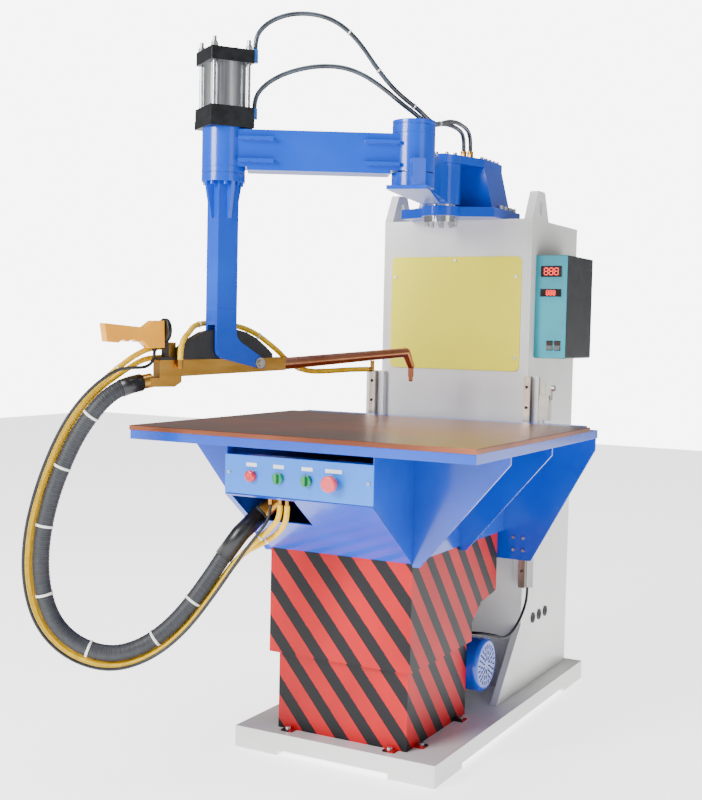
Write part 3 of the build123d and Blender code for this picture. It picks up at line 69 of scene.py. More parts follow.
def soft_box(name, place, target, size, power):
    light = bpy.data.lights.new(name, "AREA")
    light.shape = "SQUARE"
    light.size = size
    light.energy = power
    obj = bpy.data.objects.new(name, light)
    direction = Vector(target) - Vector(place)
    obj.matrix_world = Matrix.Translation(place) @ direction.to_track_quat("-Z", "Y").to_matrix().to_4x4()
    bpy.context.scene.collection.objects.link(obj)


soft_box("key_light", (-1.7, -4.6, 2.9), (0, 0, 0.9), 2.0, 330)
soft_box("top_light", (-0.2, -0.6, 4.8), (0, 0, 1.0), 2.4, 105)
soft_box("fill_light", (4.2, -1.8, 1.6), (0, 0, 0.9), 1.8, 16)

world = bpy.data.worlds.new("studio")
world.use_nodes = True
SEEN_WHITE = 7.0
LIGHT_WHITE = 0.34
sky = world.node_tree
sky.nodes["Background"].inputs["Color"].default_value = (1, 1, 1, 1)
seen = sky.nodes.new("ShaderNodeLightPath")
strength = sky.nodes.new("ShaderNodeMapRange")
strength.inputs["To Min"].default_value = LIGHT_WHITE
strength.inputs["To Max"].default_value = SEEN_WHITE
sky.links.new(seen.outputs["Is Camera Ray"], strength.inputs["Value"])
sky.links.new(strength.outputs["Result"], sky.nodes["Background"].inputs["Strength"])
bpy.context.scene.world = world


def linear(colour):
    """An sRGB hex colour as linear red, green, blue and alpha."""
    parts = [int(colour[n:n + 2], 16) / 255 for n in (0, 2, 4)]
    return tuple(p / 12.92 if p <= 0.04045 else ((p + 0.055) / 1.055) ** 2.4 for p in parts) + (1.0,)


def add(tree, kind, links=(), **settings):
    """A node with its settings; links are (input, source node, output name)."""
    made = tree.nodes.new(kind)
    for key, value in settings.items():
        if hasattr(made, key):
            setattr(made, key, value)
        else:
            made.inputs[key.replace("_", " ")].default_value = value
    for name, source, output in links:
        tree.links.new(source.outputs[output], made.inputs[name])
    return made


def start_material(name):
    material = bpy.data.materials.new(name)
    material.use_nodes = True
    material.node_tree.nodes.clear()
    tree = material.node_tree
    shader = add(tree, "ShaderNodeBsdfPrincipled")
    add(tree, "ShaderNodeOutputMaterial", [("Surface", shader, "BSDF")])
    return material, tree, shader


def mottled(tree, where, dark, light, scale, stretch=(1, 1, 1), detail=4.0, low=0.35, high=0.65):
    """Two close colours mixed by soft noise; gives back the colour and the noise."""
    mapping = add(tree, "ShaderNodeMapping", [("Vector", *where)])
    mapping.inputs["Scale"].default_value = stretch
    noise = add(tree, "ShaderNodeTexNoise", [("Vector", mapping, "Vector")])
    noise.inputs["Scale"].default_value = scale
    noise.inputs["Detail"].default_value = detail
    ramp = add(tree, "ShaderNodeValToRGB", [("Fac", noise, "Fac")])
    ramp.color_ramp.elements[0].position = low
    ramp.color_ramp.elements[1].position = high
    ramp.color_ramp.elements[0].color = linear(dark)
    ramp.color_ramp.elements[1].color = linear(light)
    return ramp, noise


def finish(name, dark, light, scale, roughness, metallic=0.0, spread=0.06, bump=0.0, stretch=(1, 1, 1),
           coat=0.0, round_edge=0.0, fine=None):
    """A real finish: its two colours, the size of its pattern, and how rough and shiny it is."""
    material, tree, shader = start_material(name)
    place = add(tree, "ShaderNodeTexCoord")
    colour, noise = mottled(tree, (place, "Object"), dark, light, scale, stretch)
    tree.links.new(colour.outputs["Color"], shader.inputs["Base Color"])
    rough = add(tree, "ShaderNodeMapRange", [("Value", noise, "Fac")])
    rough.inputs["To Min"].default_value = max(0.02, roughness - spread)
    rough.inputs["To Max"].default_value = roughness + spread
    tree.links.new(rough.outputs["Result"], shader.inputs["Roughness"])
    shader.inputs["Metallic"].default_value = metallic
    shader.inputs["Coat Weight"].default_value = coat
    shader.inputs["Coat Roughness"].default_value = 0.08
    normal = None
    if round_edge:
        normal = add(tree, "ShaderNodeBevel", samples=4)
        normal.inputs["Radius"].default_value = round_edge
    if bump:
        grain = add(tree, "ShaderNodeTexNoise", [("Vector", place, "Object")])
        grain.inputs["Scale"].default_value = fine or scale * 6
        grain.inputs["Detail"].default_value = 2.0
        height = add(tree, "ShaderNodeBump", [("Height", grain, "Fac")])
        height.inputs["Strength"].default_value = bump
        height.inputs["Distance"].default_value = 0.001
        if normal:
            tree.links.new(normal.outputs["Normal"], height.inputs["Normal"])
        normal = height
    if normal:
        tree.links.new(normal.outputs["Normal"], shader.inputs["Normal"])
    return material


def dress(material, *names):
    """Gives CAD nodes their real finish."""
    for name in names:
        for holder in nodes[name].material_slots:
            holder.material = material


# ---- floor
# A plain pale sheet under the machine. It isn't part of it.
floor_mesh = bpy.data.meshes.new("floor")
FLOOR_REACH = 9.0
corners = [(x, y, -0.0005) for x, y in ((-FLOOR_REACH, -FLOOR_REACH), (FLOOR_REACH, -FLOOR_REACH),
                                       (FLOOR_REACH, FLOOR_REACH), (-FLOOR_REACH, FLOOR_REACH))]
floor_mesh.from_pydata(corners, [], [(0, 1, 2, 3)])
floor = bpy.data.objects.new("floor", floor_mesh)
bpy.context.scene.collection.objects.link(floor)
paper = finish("studio_paper", "fafafa", "ffffff", 0.6, 0.9)
FLOOR_GLOW = 2.2
glow = paper.node_tree.nodes["Principled BSDF"]
glow.inputs["Emission Color"].default_value = (1, 1, 1, 1)
glow.inputs["Emission Strength"].default_value = FLOOR_GLOW
floor_mesh.materials.append(paper)

# ---- hoses and cables
# Rubber covered power cable, ribbed yellow water hoses, polyurethane air hoses and thin round
# cables. Each is one smooth line with a tube of rings drawn along it.
MILLIMETRE = 0.001
PIVOT = (-0.2862, -0.6811, 1.034)
BEAM_TURN = 64.6


def along_beam(along, side, z):
    """A point from its distance along the beam and beside it, in millimetres."""
    a = radians(BEAM_TURN)
    return (PIVOT[0] * 1000 + along * cos(a) - side * sin(a),
            PIVOT[1] * 1000 + along * sin(a) + side * cos(a),
            PIVOT[2] * 1000 + z)


def spline_line(points):
    """The smooth line that has these points, in millimetres, as its control points."""
    curve = bpy.data.curves.new("route", "CURVE")
    curve.dimensions = "3D"
    curve.resolution_u = 16
    spline = curve.splines.new("NURBS")
    spline.points.add(len(points) - 1)
    for control, place in zip(spline.points, points):
        control.co = (*(v * MILLIMETRE for v in place), 1)
    spline.order_u = 3
    spline.use_endpoint_u = True
    holder = bpy.data.objects.new("route", curve)
    bpy.context.scene.collection.objects.link(holder)
    graph = bpy.context.evaluated_depsgraph_get()
    mesh = bpy.data.meshes.new_from_object(holder.evaluated_get(graph))
    line = [v.co.copy() for v in mesh.vertices]
    bpy.data.objects.remove(holder)
    bpy.data.meshes.remove(mesh)
    return line


def line_length(line):
    return sum((b - a).length for a, b in zip(line, line[1:]))


def stations(line, start, end, step):
    """Points and directions at even steps along part of a line."""
    total = line_length(line)
    start, end = max(0.0, start), min(total, end)
    count = max(2, int((end - start) / step))
    wanted = [start + (end - start) * n / count for n in range(count + 1)]
    found, gone, leg = [], 0.0, 0
    for distance in wanted:
        while leg < len(line) - 2 and gone + (line[leg + 1] - line[leg]).length < distance:
            gone += (line[leg + 1] - line[leg]).length
            leg += 1
        run = line[leg + 1] - line[leg]
        found.append((line[leg] + run * min(1.0, (distance - gone) / max(run.length, 1e-9)), distance))
    directions = []
    for n in range(len(found)):
        ahead = found[min(n + 1, len(found) - 1)][0]
        behind = found[max(n - 1, 0)][0]
        directions.append((ahead - behind).normalized())
    return found, directions


def ring_tube(name, line, material, radius, sides=20, start=0.0, end=99.0, step=0.004):
    """A closed tube round part of a line. radius is a function of the distance along it, in metres."""
    found, directions = stations(line, start, end, step)
    across = directions[0].orthogonal().normalized()
    verts, faces, spans = [], [], []
    for (place, distance), way in zip(found, directions):
        across = (across - way * across.dot(way)).normalized()
        other = way.cross(across)
        r = radius(distance)
        for k in range(sides):
            a = 2 * pi * k / sides
            verts.append(place + across * (r * cos(a)) + other * (r * sin(a)))
        spans.append(distance)
    for n in range(len(found) - 1):
        for k in range(sides):
            faces.append((n * sides + k, n * sides + (k + 1) % sides, (n + 1) * sides + (k + 1) % sides,
                          (n + 1) * sides + k))
    last = (len(found) - 1) * sides
    faces.append(tuple(reversed(range(sides))))
    faces.append(tuple(last + k for k in range(sides)))
    mesh = bpy.data.meshes.new(name)
    mesh.from_pydata(verts, [], faces)
    around = mesh.uv_layers.new(name="along")
    for face in mesh.polygons:
        for corner in face.loop_indices:
            vertex = mesh.loops[corner].vertex_index
            turn_part = (vertex % sides) / sides
            on_seam = face.index % sides == sides - 1 and vertex % sides == 0
            if on_seam and face.index < (len(found) - 1) * sides:
                turn_part = 1.0
            around.data[corner].uv = (turn_part, spans[vertex // sides])
    mesh.materials.append(material)
    for face in mesh.polygons:
        face.use_smooth = len(face.vertices) == 4
    obj = bpy.data.objects.new(name, mesh)
    bpy.context.scene.collection.objects.link(obj)
    return obj


def wrapped(name, dark, light, pitch, roughness, depth=0.6, slant=0.5, sheen=0.0):
    """A cover with a wrap or a weave: bands of two tones along the tube, laid at a slant. The grooves of
    the relief take the darker mottled tone and the crests the light tone, which is painted shade.
    """
    material, tree, shader = start_material(name)
    place = add(tree, "ShaderNodeUVMap", uv_map="along")
    mapping = add(tree, "ShaderNodeMapping", [("Vector", place, "UV")])
    mapping.inputs["Scale"].default_value = (slant, 1 / pitch, 1)
    split = add(tree, "ShaderNodeSeparateXYZ", [("Vector", mapping, "Vector")])
    total = add(tree, "ShaderNodeMath", [(0, split, "X"), (1, split, "Y")], operation="ADD")
    phase = add(tree, "ShaderNodeMath", [(0, total, "Value")], operation="MULTIPLY")
    phase.inputs[1].default_value = 2 * pi
    wave = add(tree, "ShaderNodeMath", [(0, phase, "Value")], operation="SINE")
    level = add(tree, "ShaderNodeMapRange", [("Value", wave, "Value")])
    level.inputs["From Min"].default_value = -1
    space = add(tree, "ShaderNodeTexCoord")
    patch, noise = mottled(tree, (space, "Object"), dark, light, 60)
    # Painted shade: where the level is low, in the grooves, the colour is the darker mottled tone, and on
    # the crests it is the light tone.
    band = add(tree, "ShaderNodeMix", [("Factor", level, "Result"), ("A", patch, "Color")],
               data_type="RGBA")
    tree.links.new(level.outputs["Result"], band.inputs["Factor"])
    tree.links.new(patch.outputs["Color"], band.inputs[6])
    band.inputs[7].default_value = linear(light)
    tree.links.new(band.outputs[2], shader.inputs["Base Color"])
    height = add(tree, "ShaderNodeBump", [("Height", level, "Result")])
    height.inputs["Strength"].default_value = depth
    height.inputs["Distance"].default_value = 0.0008
    tree.links.new(height.outputs["Normal"], shader.inputs["Normal"])
    shader.inputs["Roughness"].default_value = roughness
    shader.inputs["Sheen Weight"].default_value = sheen
    return material


# Wrap-finished rubber: grey lay lines of the cloth tape it was cured in, about 6 mm apart. The relief is
# real, and the darker grooves between the lighter crests are painted shade.
wrapped_rubber = wrapped("wrapped_rubber", "1a1c1f", "2b2e33", 0.006, 0.55, depth=0.35, slant=1.0)
# Braided PVC: a yellow skin with a fine ribbed surface, a rib each 3 mm. The grooves between the ribs are
# painted a darker yellow, which is painted shade.
ribbed_pvc = wrapped("ribbed_yellow_pvc", "c99a00", "f7c800", 0.003, 0.38, depth=0.4, slant=0.0)
# Polyurethane air hose: smooth and dark blue-grey, with a soft gloss.
polyurethane = finish("polyurethane_hose", "20262e", "3a4450", 25, 0.28, coat=0.3)
# PVC cable jacket: smooth black with a dull shine.
cable_jacket = finish("pvc_cable_jacket", "101114", "1e2024", 40, 0.42)
# Heat-shrink sleeve: tight black polyolefin with a satin face.
heat_shrink = finish("heat_shrink_sleeve", "0c0d0f", "1b1c1f", 30, 0.35)
# Nylon tie: white moulded strap, a little translucent.
nylon_white = finish("nylon_tie", "e6e6df", "fbfbf6", 80, 0.35)

PIPE_X = (-58, -38)
PIPE_Y = -747
PIPE_END = 694
ROUTES = {
    "main_cable": [
        along_beam(-221.605, 0, -48.515), along_beam(-261.005, 0, -55.465), (-418, -949, 960),
        (-441, -975, 927), (-480, -992, 868), (-506, -1008, 806), (-539, -1026, 710), (-557, -1040, 600),
        (-558, -1040, 495), (-535, -1026, 402), (-484, -996, 342), (-410, -954, 316), (-340, -908, 340),
        (-277, -863, 402), (-222, -821, 495), (-180, -785, 582), (-148, -758, 636), (-124, -725, 668)],
    "supply_hose": [
        (PIPE_X[0], PIPE_Y, PIPE_END), (PIPE_X[0], PIPE_Y, PIPE_END - 30), (-80, -753, 634), (-114, -765,
                                                                                              604),
        (-153, -782, 560), (-199, -813, 478), (-256, -858, 380), (-325, -906, 312), (-408, -960, 284),
        (-497, -1009, 316), (-557, -1044, 387), (-584, -1060, 491), (-583, -1060, 604), (-563, -1046, 719),
        (-529, -1025, 828), (-493, -1002, 909), (-453, -970, 972), (-418, -930, 1020), along_beam(-228,
                                                                                                  18, 20),
        along_beam(-178, 28, 38), along_beam(-141, 28, 38)],
    "return_hose": [
        (PIPE_X[1], PIPE_Y, PIPE_END), (PIPE_X[1], PIPE_Y, PIPE_END - 32), (-60, -734, 632), (-98, -734,
                                                                                              600),
        (-163, -763, 565), (-210, -800, 480), (-267, -842, 384), (-336, -891, 315), (-417, -943, 287),
        (-502, -992, 318), (-562, -1026, 389), (-587, -1042, 491), (-586, -1042, 602), (-568, -1027, 716),
        (-534, -1007, 825), (-498, -984, 905), (-460, -952, 966), (-424, -908, 1008), along_beam(-212,
                                                                                                 30, 4),
        along_beam(-177, 28, 12), along_beam(-141, 28, 12)],
    "control_cable": [
        (-86, PIPE_Y, PIPE_END), (-86, PIPE_Y, PIPE_END - 26), (-92, -766, 640), (-116, -784, 602),
        (-144, -794, 560), (-190, -826, 474), (-247, -870, 377), (-318, -919, 308), (-402, -973, 280),
        (-493, -1023, 312), (-555, -1060, 386), (-582, -1076, 491), (-581, -1076, 605), (-561, -1061, 720),
        (-527, -1040, 830), (-491, -1017, 912), (-449, -985, 976), (-406, -946, 1018), along_beam(-256,
                                                                                                  -18, -12),
        along_beam(-228, -12, -12), along_beam(-211, -8, -9), along_beam(-197, -3, -1), along_beam(-188,
                                                                                                   0, 13),
        along_beam(-188, 0, 28)],
    "jumper_hose": [
        along_beam(-133, -32, 8), along_beam(-133, -32, 34), along_beam(-122, -26, 60), along_beam(-96,
                                                                                                   -8, 76),
        along_beam(-68, 22, 92), along_beam(-34, 44, 99), along_beam(10, 48, 102), along_beam(52, 44, 98),
        along_beam(88, 26, 89), along_beam(122, 14, 71), along_beam(154, 12, 49), along_beam(186, 18, 30),
        along_beam(214, 28, 10), along_beam(244, 26, -12), along_beam(280, 10, -24), along_beam(330, 1,
                                                                                                -23),
        along_beam(384, 0, -20), along_beam(434, 0, -18), along_beam(471, 0, -18)],
    "air_hose_upper": [
        (-222.2, -640.7, 1828), (-222.2, -640.7, 1858), (-206, -631, 1886), (-180, -617, 1906), (-144,
                                                                                                 -598,
                                                                                                 1919),
        (-102, -575, 1921), (-60, -552, 1911), (-22, -530, 1886), (12, -508, 1845), (46, -486, 1788),
        (80, -460, 1740), (106, -428, 1712), (122, -390, 1694), (126, -346, 1678), (120, -288, 1675),
        (108, -222, 1688), (98, -150, 1706), (88, -76, 1715), (79, -14, 1716), (72, 34, 1713), (67.5, 60,
                                                                                                1706),
        (65, 75, 1693), (63, 83, 1675), (63, 83, 1656)],
    "air_hose_lower": [
        (-222.2, -640.7, 1680), (-222.2, -640.7, 1706), (-204, -631, 1736), (-170, -614, 1762), (-126,
                                                                                                 -592,
                                                                                                 1780),
        (-76, -566, 1790), (-26, -541, 1788), (16, -520, 1773), (48, -502, 1752), (76, -480, 1728),
        (98, -448, 1704), (106, -398, 1690), (110, -348, 1678), (104, -290, 1675), (92, -226, 1684),
        (82, -156, 1699), (72, -86, 1707), (64, -26, 1709), (57, 22, 1707), (53, 46, 1701), (50, 61, 1690),
        (48, 69, 1674), (48, 69, 1656)],
    "motor_cable": [
        (148, -73, 269), (174, -73, 269), (204, -70, 271), (233, -56, 267), (251, -27, 254), (258, 14, 258),
        (262, 56, 280), (262, 86, 297), (262.5, 110, 318), (263, 128, 346), (263, 128, 378)],
}
# name: body, diameter, length, material, rib height, rib pitch, stiffness
CORDS = {
    "main_cable": ("beam", 0.040, 1.378, wrapped_rubber, 0.0002, 0.012, "stiff"),
    "supply_hose": ("beam", 0.014, 1.655, ribbed_pvc, 0.0002, 0.006, "medium"),
    "return_hose": ("beam", 0.014, 1.642, ribbed_pvc, 0.0002, 0.006, "medium"),
    "control_cable": ("beam", 0.008, 1.634, cable_jacket, 0.0, 0.01, "medium"),
    "jumper_hose": ("beam", 0.014, 0.721, ribbed_pvc, 0.0002, 0.006, "medium"),
    "air_hose_upper": ("link_2", 0.012, 1.092, polyurethane, 0.0, 0.01, "medium"),
    "air_hose_lower": ("link_2", 0.012, 1.010, polyurethane, 0.0, 0.01, "medium"),
    "motor_cable": ("frame", 0.008, 0.342, cable_jacket, 0.0, 0.01, "medium"),
}
lines = {name: spline_line(points) for name, points in ROUTES.items()}
on_cord = {name: [] for name in CORDS}


def strap(name, cord_name, middle, radius, material=nylon_white, width=0.006, proud=0.0012):
    """A tie, sleeve or band round a cord, centred at a distance along it."""
    made = ring_tube(name, lines[cord_name], material, lambda s: radius + proud, 24,
                     middle - width / 2, middle + width / 2, width / 2)
    on_cord[cord_name].append(made)
    return made


MAIN_TIES = (0.155, 0.30, 0.45, 0.62, 0.80, 0.97, 1.10, 1.25)
for n, middle in enumerate(MAIN_TIES):
    strap(f"main_tie_{n}", "main_cable", middle, 0.0205)
strap("upper_sleeve", "main_cable", 0.030, 0.0205, heat_shrink, 0.056, 0.0012)
strap("lower_sleeve", "main_cable", 1.30, 0.0205, heat_shrink, 0.14, 0.0022)
for cord_name, middle in (("supply_hose", 0.10), ("supply_hose", 1.50), ("return_hose", 0.12)):
    strap(f"{cord_name}_tie_{int(middle * 100)}", cord_name, middle, 0.0072, width=0.004)
for n, middle in enumerate((0.16, 0.34, 0.50)):
    strap(f"jumper_tie_{n}", "jumper_hose", middle, 0.0072, width=0.004)
for n, middle in enumerate((0.30, 0.42, 0.55, 0.72)):
    strap(f"air_tie_{n}", "air_hose_upper", middle, 0.0062, width=0.004)


def slot_of(node):
    """The record's material slot of a CAD node."""
    return next(s["material_slot"] for s in frame["record"]["subparts"] if s["node"] == node)


def ribbed(radius, rib, pitch):
    """The radius of a tube at each distance along it, with ribs this high and this far apart."""
    return lambda s: radius + rib * sin(2 * pi * s / pitch)


for name, (body, width, length, material, rib, pitch, stiffness) in CORDS.items():
    ripple = ribbed(width / 2, rib, pitch)
    step = pitch / 4 if rib else 0.006
    tube = ring_tube(name + "_hose", lines[name], material, ripple, 24 if width > 0.02 else 14, step=step)
    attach(tube, body)
    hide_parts(name)
    for made in on_cord[name]:
        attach(made, body)

# ---- painted steel
# Welded plate and bar, filled, primed and sprayed with gloss enamel, so edges are a little
# rounded and the face has a faint orange peel.
blue_enamel = finish("blue_gloss_enamel", "0040b8", "004ece", 3, 0.22, spread=0.05, bump=0.05, coat=0.35,
                     round_edge=0.0015, fine=260)
azure_enamel = finish("azure_gloss_enamel", "0f74e0", "1c84ee", 3, 0.26, spread=0.05, bump=0.05, coat=0.3,
                      round_edge=0.001, fine=260)
white_enamel = finish("white_gloss_enamel", "d9d9d6", "e6e6e3", 2.2, 0.34, spread=0.06, bump=0.05, coat=0.2,
                      round_edge=0.0018, fine=240)
yellow_enamel = finish("yellow_gloss_enamel", "f0e600", "fbf000", 2.5, 0.5, bump=0.04, coat=0.2,
                       round_edge=0.0008, fine=240)
black_enamel = finish("black_crackle_enamel", "131417", "232529", 30, 0.42, bump=0.25, round_edge=0.0012,
                      fine=700)
dress(blue_enamel, "head_bracket", "link_1_arm", "link_2_arm", "post_column", "fork_plates", "back_plate",
      "table_frame", "wings", "housing", "sloped_panel", "lift_motor")
dress(azure_enamel, "button_panel")
dress(white_enamel, "base_frame", "column_sides", "column_plates", "rail_bars")
dress(yellow_enamel, "yellow_panel")
dress(black_enamel, "control_box")

# ---- guards
# Folded sheet steel boxes painted red, with slanting black bands laid over by mask.
STRIPE_PITCH = 0.098
STRIPE_SLOPE = 50
striped, tree, shader = start_material("striped_guard_enamel")
place = add(tree, "ShaderNodeTexCoord")
axis = add(tree, "ShaderNodeSeparateXYZ", [("Vector", place, "Object")])
side_run = add(tree, "ShaderNodeMath", [(0, axis, "X"), (1, axis, "Y")], operation="ADD")
rise = add(tree, "ShaderNodeMath", [(0, axis, "Z")], operation="MULTIPLY")
rise.inputs[1].default_value = cos(radians(STRIPE_SLOPE)) / sin(radians(STRIPE_SLOPE))
slant = add(tree, "ShaderNodeMath", [(0, side_run, "Value"), (1, rise, "Value")], operation="ADD")
part = add(tree, "ShaderNodeMath", [(0, slant, "Value")], operation="DIVIDE")
part.inputs[1].default_value = STRIPE_PITCH
saw = add(tree, "ShaderNodeMath", [(0, part, "Value")], operation="FRACT")
edge = add(tree, "ShaderNodeTexNoise", [("Vector", place, "Object")])
edge.inputs["Scale"].default_value = 90
wobble = add(tree, "ShaderNodeMapRange", [("Value", edge, "Fac")])
wobble.inputs["To Min"].default_value = 0.43
wobble.inputs["To Max"].default_value = 0.47
black_part = add(tree, "ShaderNodeMath", [(0, saw, "Value"), (1, wobble, "Result")], operation="LESS_THAN")
red = mottled(tree, (place, "Object"), "a8000c", "c40010", 4)[0]
ink = mottled(tree, (place, "Object"), "060508", "100e12", 4)[0]
paint = add(tree, "ShaderNodeMix", data_type="RGBA")
tree.links.new(black_part.outputs["Value"], paint.inputs["Factor"])
tree.links.new(red.outputs["Color"], paint.inputs[6])
tree.links.new(ink.outputs["Color"], paint.inputs[7])
tree.links.new(paint.outputs[2], shader.inputs["Base Color"])
shader.inputs["Roughness"].default_value = 0.5
shader.inputs["Specular IOR Level"].default_value = 0.3
dress(striped, "lower_guard", "upper_guard")

# ---- bare metals
# Ground rails, rolled copper sheet, machined brass, zinc plated screws, a chromed ram and a
# honed aluminium barrel, each with the lines of its making.
ground_steel = finish("ground_steel", "8f8a80", "b7b1a6", 40, 0.34, 1.0, stretch=(1, 1, 0.05), bump=0.08)
zinc_plate = finish("zinc_plated_steel", "a9abae", "d0d2d4", 60, 0.3, 1.0)
hard_chrome = finish("hard_chrome", "c9cbcd", "dcdee0", 20, 0.12, 1.0, spread=0.03)
cast_grey = finish("painted_casting", "3d4145", "54585c", 30, 0.5, bump=0.4, fine=400)
brushed_aluminium = finish("brushed_aluminium", "9b9fa3", "d2d5d8", 90, 0.3, 1.0, stretch=(1, 1, 0.03),
                           bump=0.05)
black_anodised = finish("black_anodised_aluminium", "141517", "222428", 40, 0.36, 0.5, round_edge=0.0012)
satin_brass = finish("machined_brass", "b08038", "c69549", 9, 0.3, 1.0, stretch=(1, 1, 4), bump=0.06,
                     round_edge=0.0008, fine=320)
drawn_copper = finish("drawn_copper", "b9714f", "cc8a68", 12, 0.3, 1.0, bump=0.05, fine=320)
rolled_copper = finish("rolled_copper_sheet", "7d4a38", "a9694e", 5, 0.32, 1.0, spread=0.1, stretch=(0.3,
                                                                                                     1, 1),
                       bump=0.06, fine=300)
stacked_iron = finish("stacked_laminations", "3c3834", "6b645b", 120, 0.5, 0.6, stretch=(0.05, 3, 0.05),
                      bump=0.2)
dress(ground_steel, "linear_rails", "linear_blocks", "pivot_pin", "switch_lever", "lift_screw")
dress(zinc_plate, "frame_bolts", "table_screws", "tie_rods")
dress(hard_chrome, "ram", "shoulder_shaft", "elbow_pin")
dress(cast_grey, "jack_housing")
dress(brushed_aluminium, "cylinder_barrel")
dress(black_anodised, "cylinder_caps")
dress(satin_brass, "brass_bar", "lower_terminal", "head_fittings")
dress(drawn_copper, "copper_arm")
dress(rolled_copper, "copper_tops")
dress(stacked_iron, "transformer")

# ---- plastics
# Injection moulded parts: orange grip, black supports, blue push-in fittings and controls.
orange_abs = finish("orange_abs", "e09200", "f2a800", 8, 0.36, bump=0.05, coat=0.15, round_edge=0.0015,
                    fine=500)
black_abs = finish("black_abs", "0d0e10", "1c1d20", 20, 0.4, bump=0.1, fine=500, round_edge=0.001)
blue_nylon = finish("blue_nylon_fitting", "1555a8", "2a74cc", 20, 0.3, coat=0.2)
green_cap = finish("green_polycarbonate", "11703a", "1d9450", 20, 0.25, coat=0.4)
red_cap = finish("red_polycarbonate", "cf2a3a", "e84a56", 12, 0.35, coat=0.2, round_edge=0.0015)
red_lens = finish("red_lamp_lens", "b00c14", "e01c24", 60, 0.16, coat=0.6)
cream_abs = finish("cream_abs", "cfc9b8", "dfd9c8", 20, 0.35, coat=0.2)
dress(orange_abs, "handle")
dress(black_abs, "handle_mount", "hose_saddle", "rocker_left", "rocker_right")
dress(blue_nylon, "cylinder_fittings")
dress(green_cap, "selector_left", "selector_right")
dress(red_cap, "emergency_stop")
dress(red_lens, "panel_lamp")
dress(cream_abs, "limit_switch")
teal_print = finish("teal_polyester_front", "0f93a6", "1ba6b8", 6, 0.42, bump=0.05, fine=400)
dress(teal_print, "control_face")

# ---- fan grille
# The fan cover of the lift motor is pressed steel. Its flat end has rings of slots that let the
# air in, which look black because the fan behind them is in the dark.
def open_tree(name, inputs):
    """A new geometry tree with named inputs for its sizes, and its two end nodes."""
    tree = bpy.data.node_groups.new(name, "GeometryNodeTree")
    for label, kind in inputs:
        tree.interface.new_socket(label, in_out="INPUT", socket_type=kind)
    tree.interface.new_socket("Geometry", in_out="OUTPUT", socket_type="NodeSocketGeometry")
    return tree, tree.nodes.new("NodeGroupInput"), tree.nodes.new("NodeGroupOutput")


def close_tree(tree, ends, points, shape, shape_output, rotation=None):
    """Puts the shape on the points and ends the tree in real geometry with its material."""
    source, sink = ends
    placed = add(tree, "GeometryNodeInstanceOnPoints", [("Points", *points), ("Instance", shape,
                                                                              shape_output)])
    if rotation:
        tree.links.new(rotation.outputs["Vector"], placed.inputs["Rotation"])
    real = add(tree, "GeometryNodeRealizeInstances", [("Geometry", placed, "Instances")])
    coated = add(tree, "GeometryNodeSetMaterial", [("Geometry", real, "Geometry"),
                                                   ("Material", source, "Material")])
    tree.links.new(coated.outputs["Geometry"], sink.inputs["Geometry"])


def ring_tree():
    """Bars set round a circle, each pointing outwards."""
    tree, source, sink = open_tree("bars_round_a_circle", [
        ("Count", "NodeSocketInt"), ("Radius", "NodeSocketFloat"), ("Size", "NodeSocketVector"),
        ("Material", "NodeSocketMaterial")])
    circle = add(tree, "GeometryNodeMeshCircle", [("Vertices", source, "Count"), ("Radius", source,
                                                                                  "Radius")])
    bar = add(tree, "GeometryNodeMeshCube", [("Size", source, "Size")])
    index = tree.nodes.new("GeometryNodeInputIndex")
    share = add(tree, "ShaderNodeMath", [(0, index, "Index"), (1, source, "Count")], operation="DIVIDE")
    angle = add(tree, "ShaderNodeMath", [(0, share, "Value")], operation="MULTIPLY")
    angle.inputs[1].default_value = 2 * pi
    rotation = add(tree, "ShaderNodeCombineXYZ", [("Z", angle, "Value")])
    close_tree(tree, (source, sink), (circle, "Mesh"), bar, "Mesh", rotation)
    return tree


def row_tree(round_piece):
    """Equal pieces in a straight row: blocks, or discs facing up."""
    tree, source, sink = open_tree("discs_in_a_row" if round_piece else "blocks_in_a_row", [
        ("Count", "NodeSocketInt"), ("Step", "NodeSocketVector"), ("Size", "NodeSocketVector"),
        ("Material", "NodeSocketMaterial")])
    line = add(tree, "GeometryNodeMeshLine", [("Count", source, "Count"), ("Offset", source, "Step")])
    if round_piece:
        size = add(tree, "ShaderNodeSeparateXYZ", [("Vector", source, "Size")])
        piece = add(tree, "GeometryNodeMeshCylinder", [("Radius", size, "X"), ("Depth", size, "Z")])
    else:
        piece = add(tree, "GeometryNodeMeshCube", [("Size", source, "Size")])
    close_tree(tree, (source, sink), (line, "Mesh"), piece, "Mesh")
    return tree


def grown(name, tree, material, body, slot, place, turn=None, **settings):
    """The plain mesh that a tree makes with these settings, in millimetres, put in its place."""
    holder = bpy.data.objects.new("grower", bpy.data.meshes.new("grower"))
    bpy.context.scene.collection.objects.link(holder)
    modifier = holder.modifiers.new("grow", "NODES")
    modifier.node_group = tree
    for socket in tree.interface.items_tree:
        if socket.in_out == "INPUT":
            modifier[socket.identifier] = {**settings, "Material": material}[socket.name]
    graph = bpy.context.evaluated_depsgraph_get()
    mesh = bpy.data.meshes.new_from_object(holder.evaluated_get(graph))
    bpy.data.objects.remove(holder)
    mesh.name = name
    mesh.transform(Matrix.Translation([v * MILLIMETRE for v in place]) @ (turn or Matrix())
                   @ Matrix.Scale(MILLIMETRE, 4))
    made = bpy.data.objects.new(name, mesh)
    bpy.context.scene.collection.objects.link(made)
    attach(made, body)
    return made


FACE_RIGHT = Matrix.Rotation(radians(90), 4, "Y")
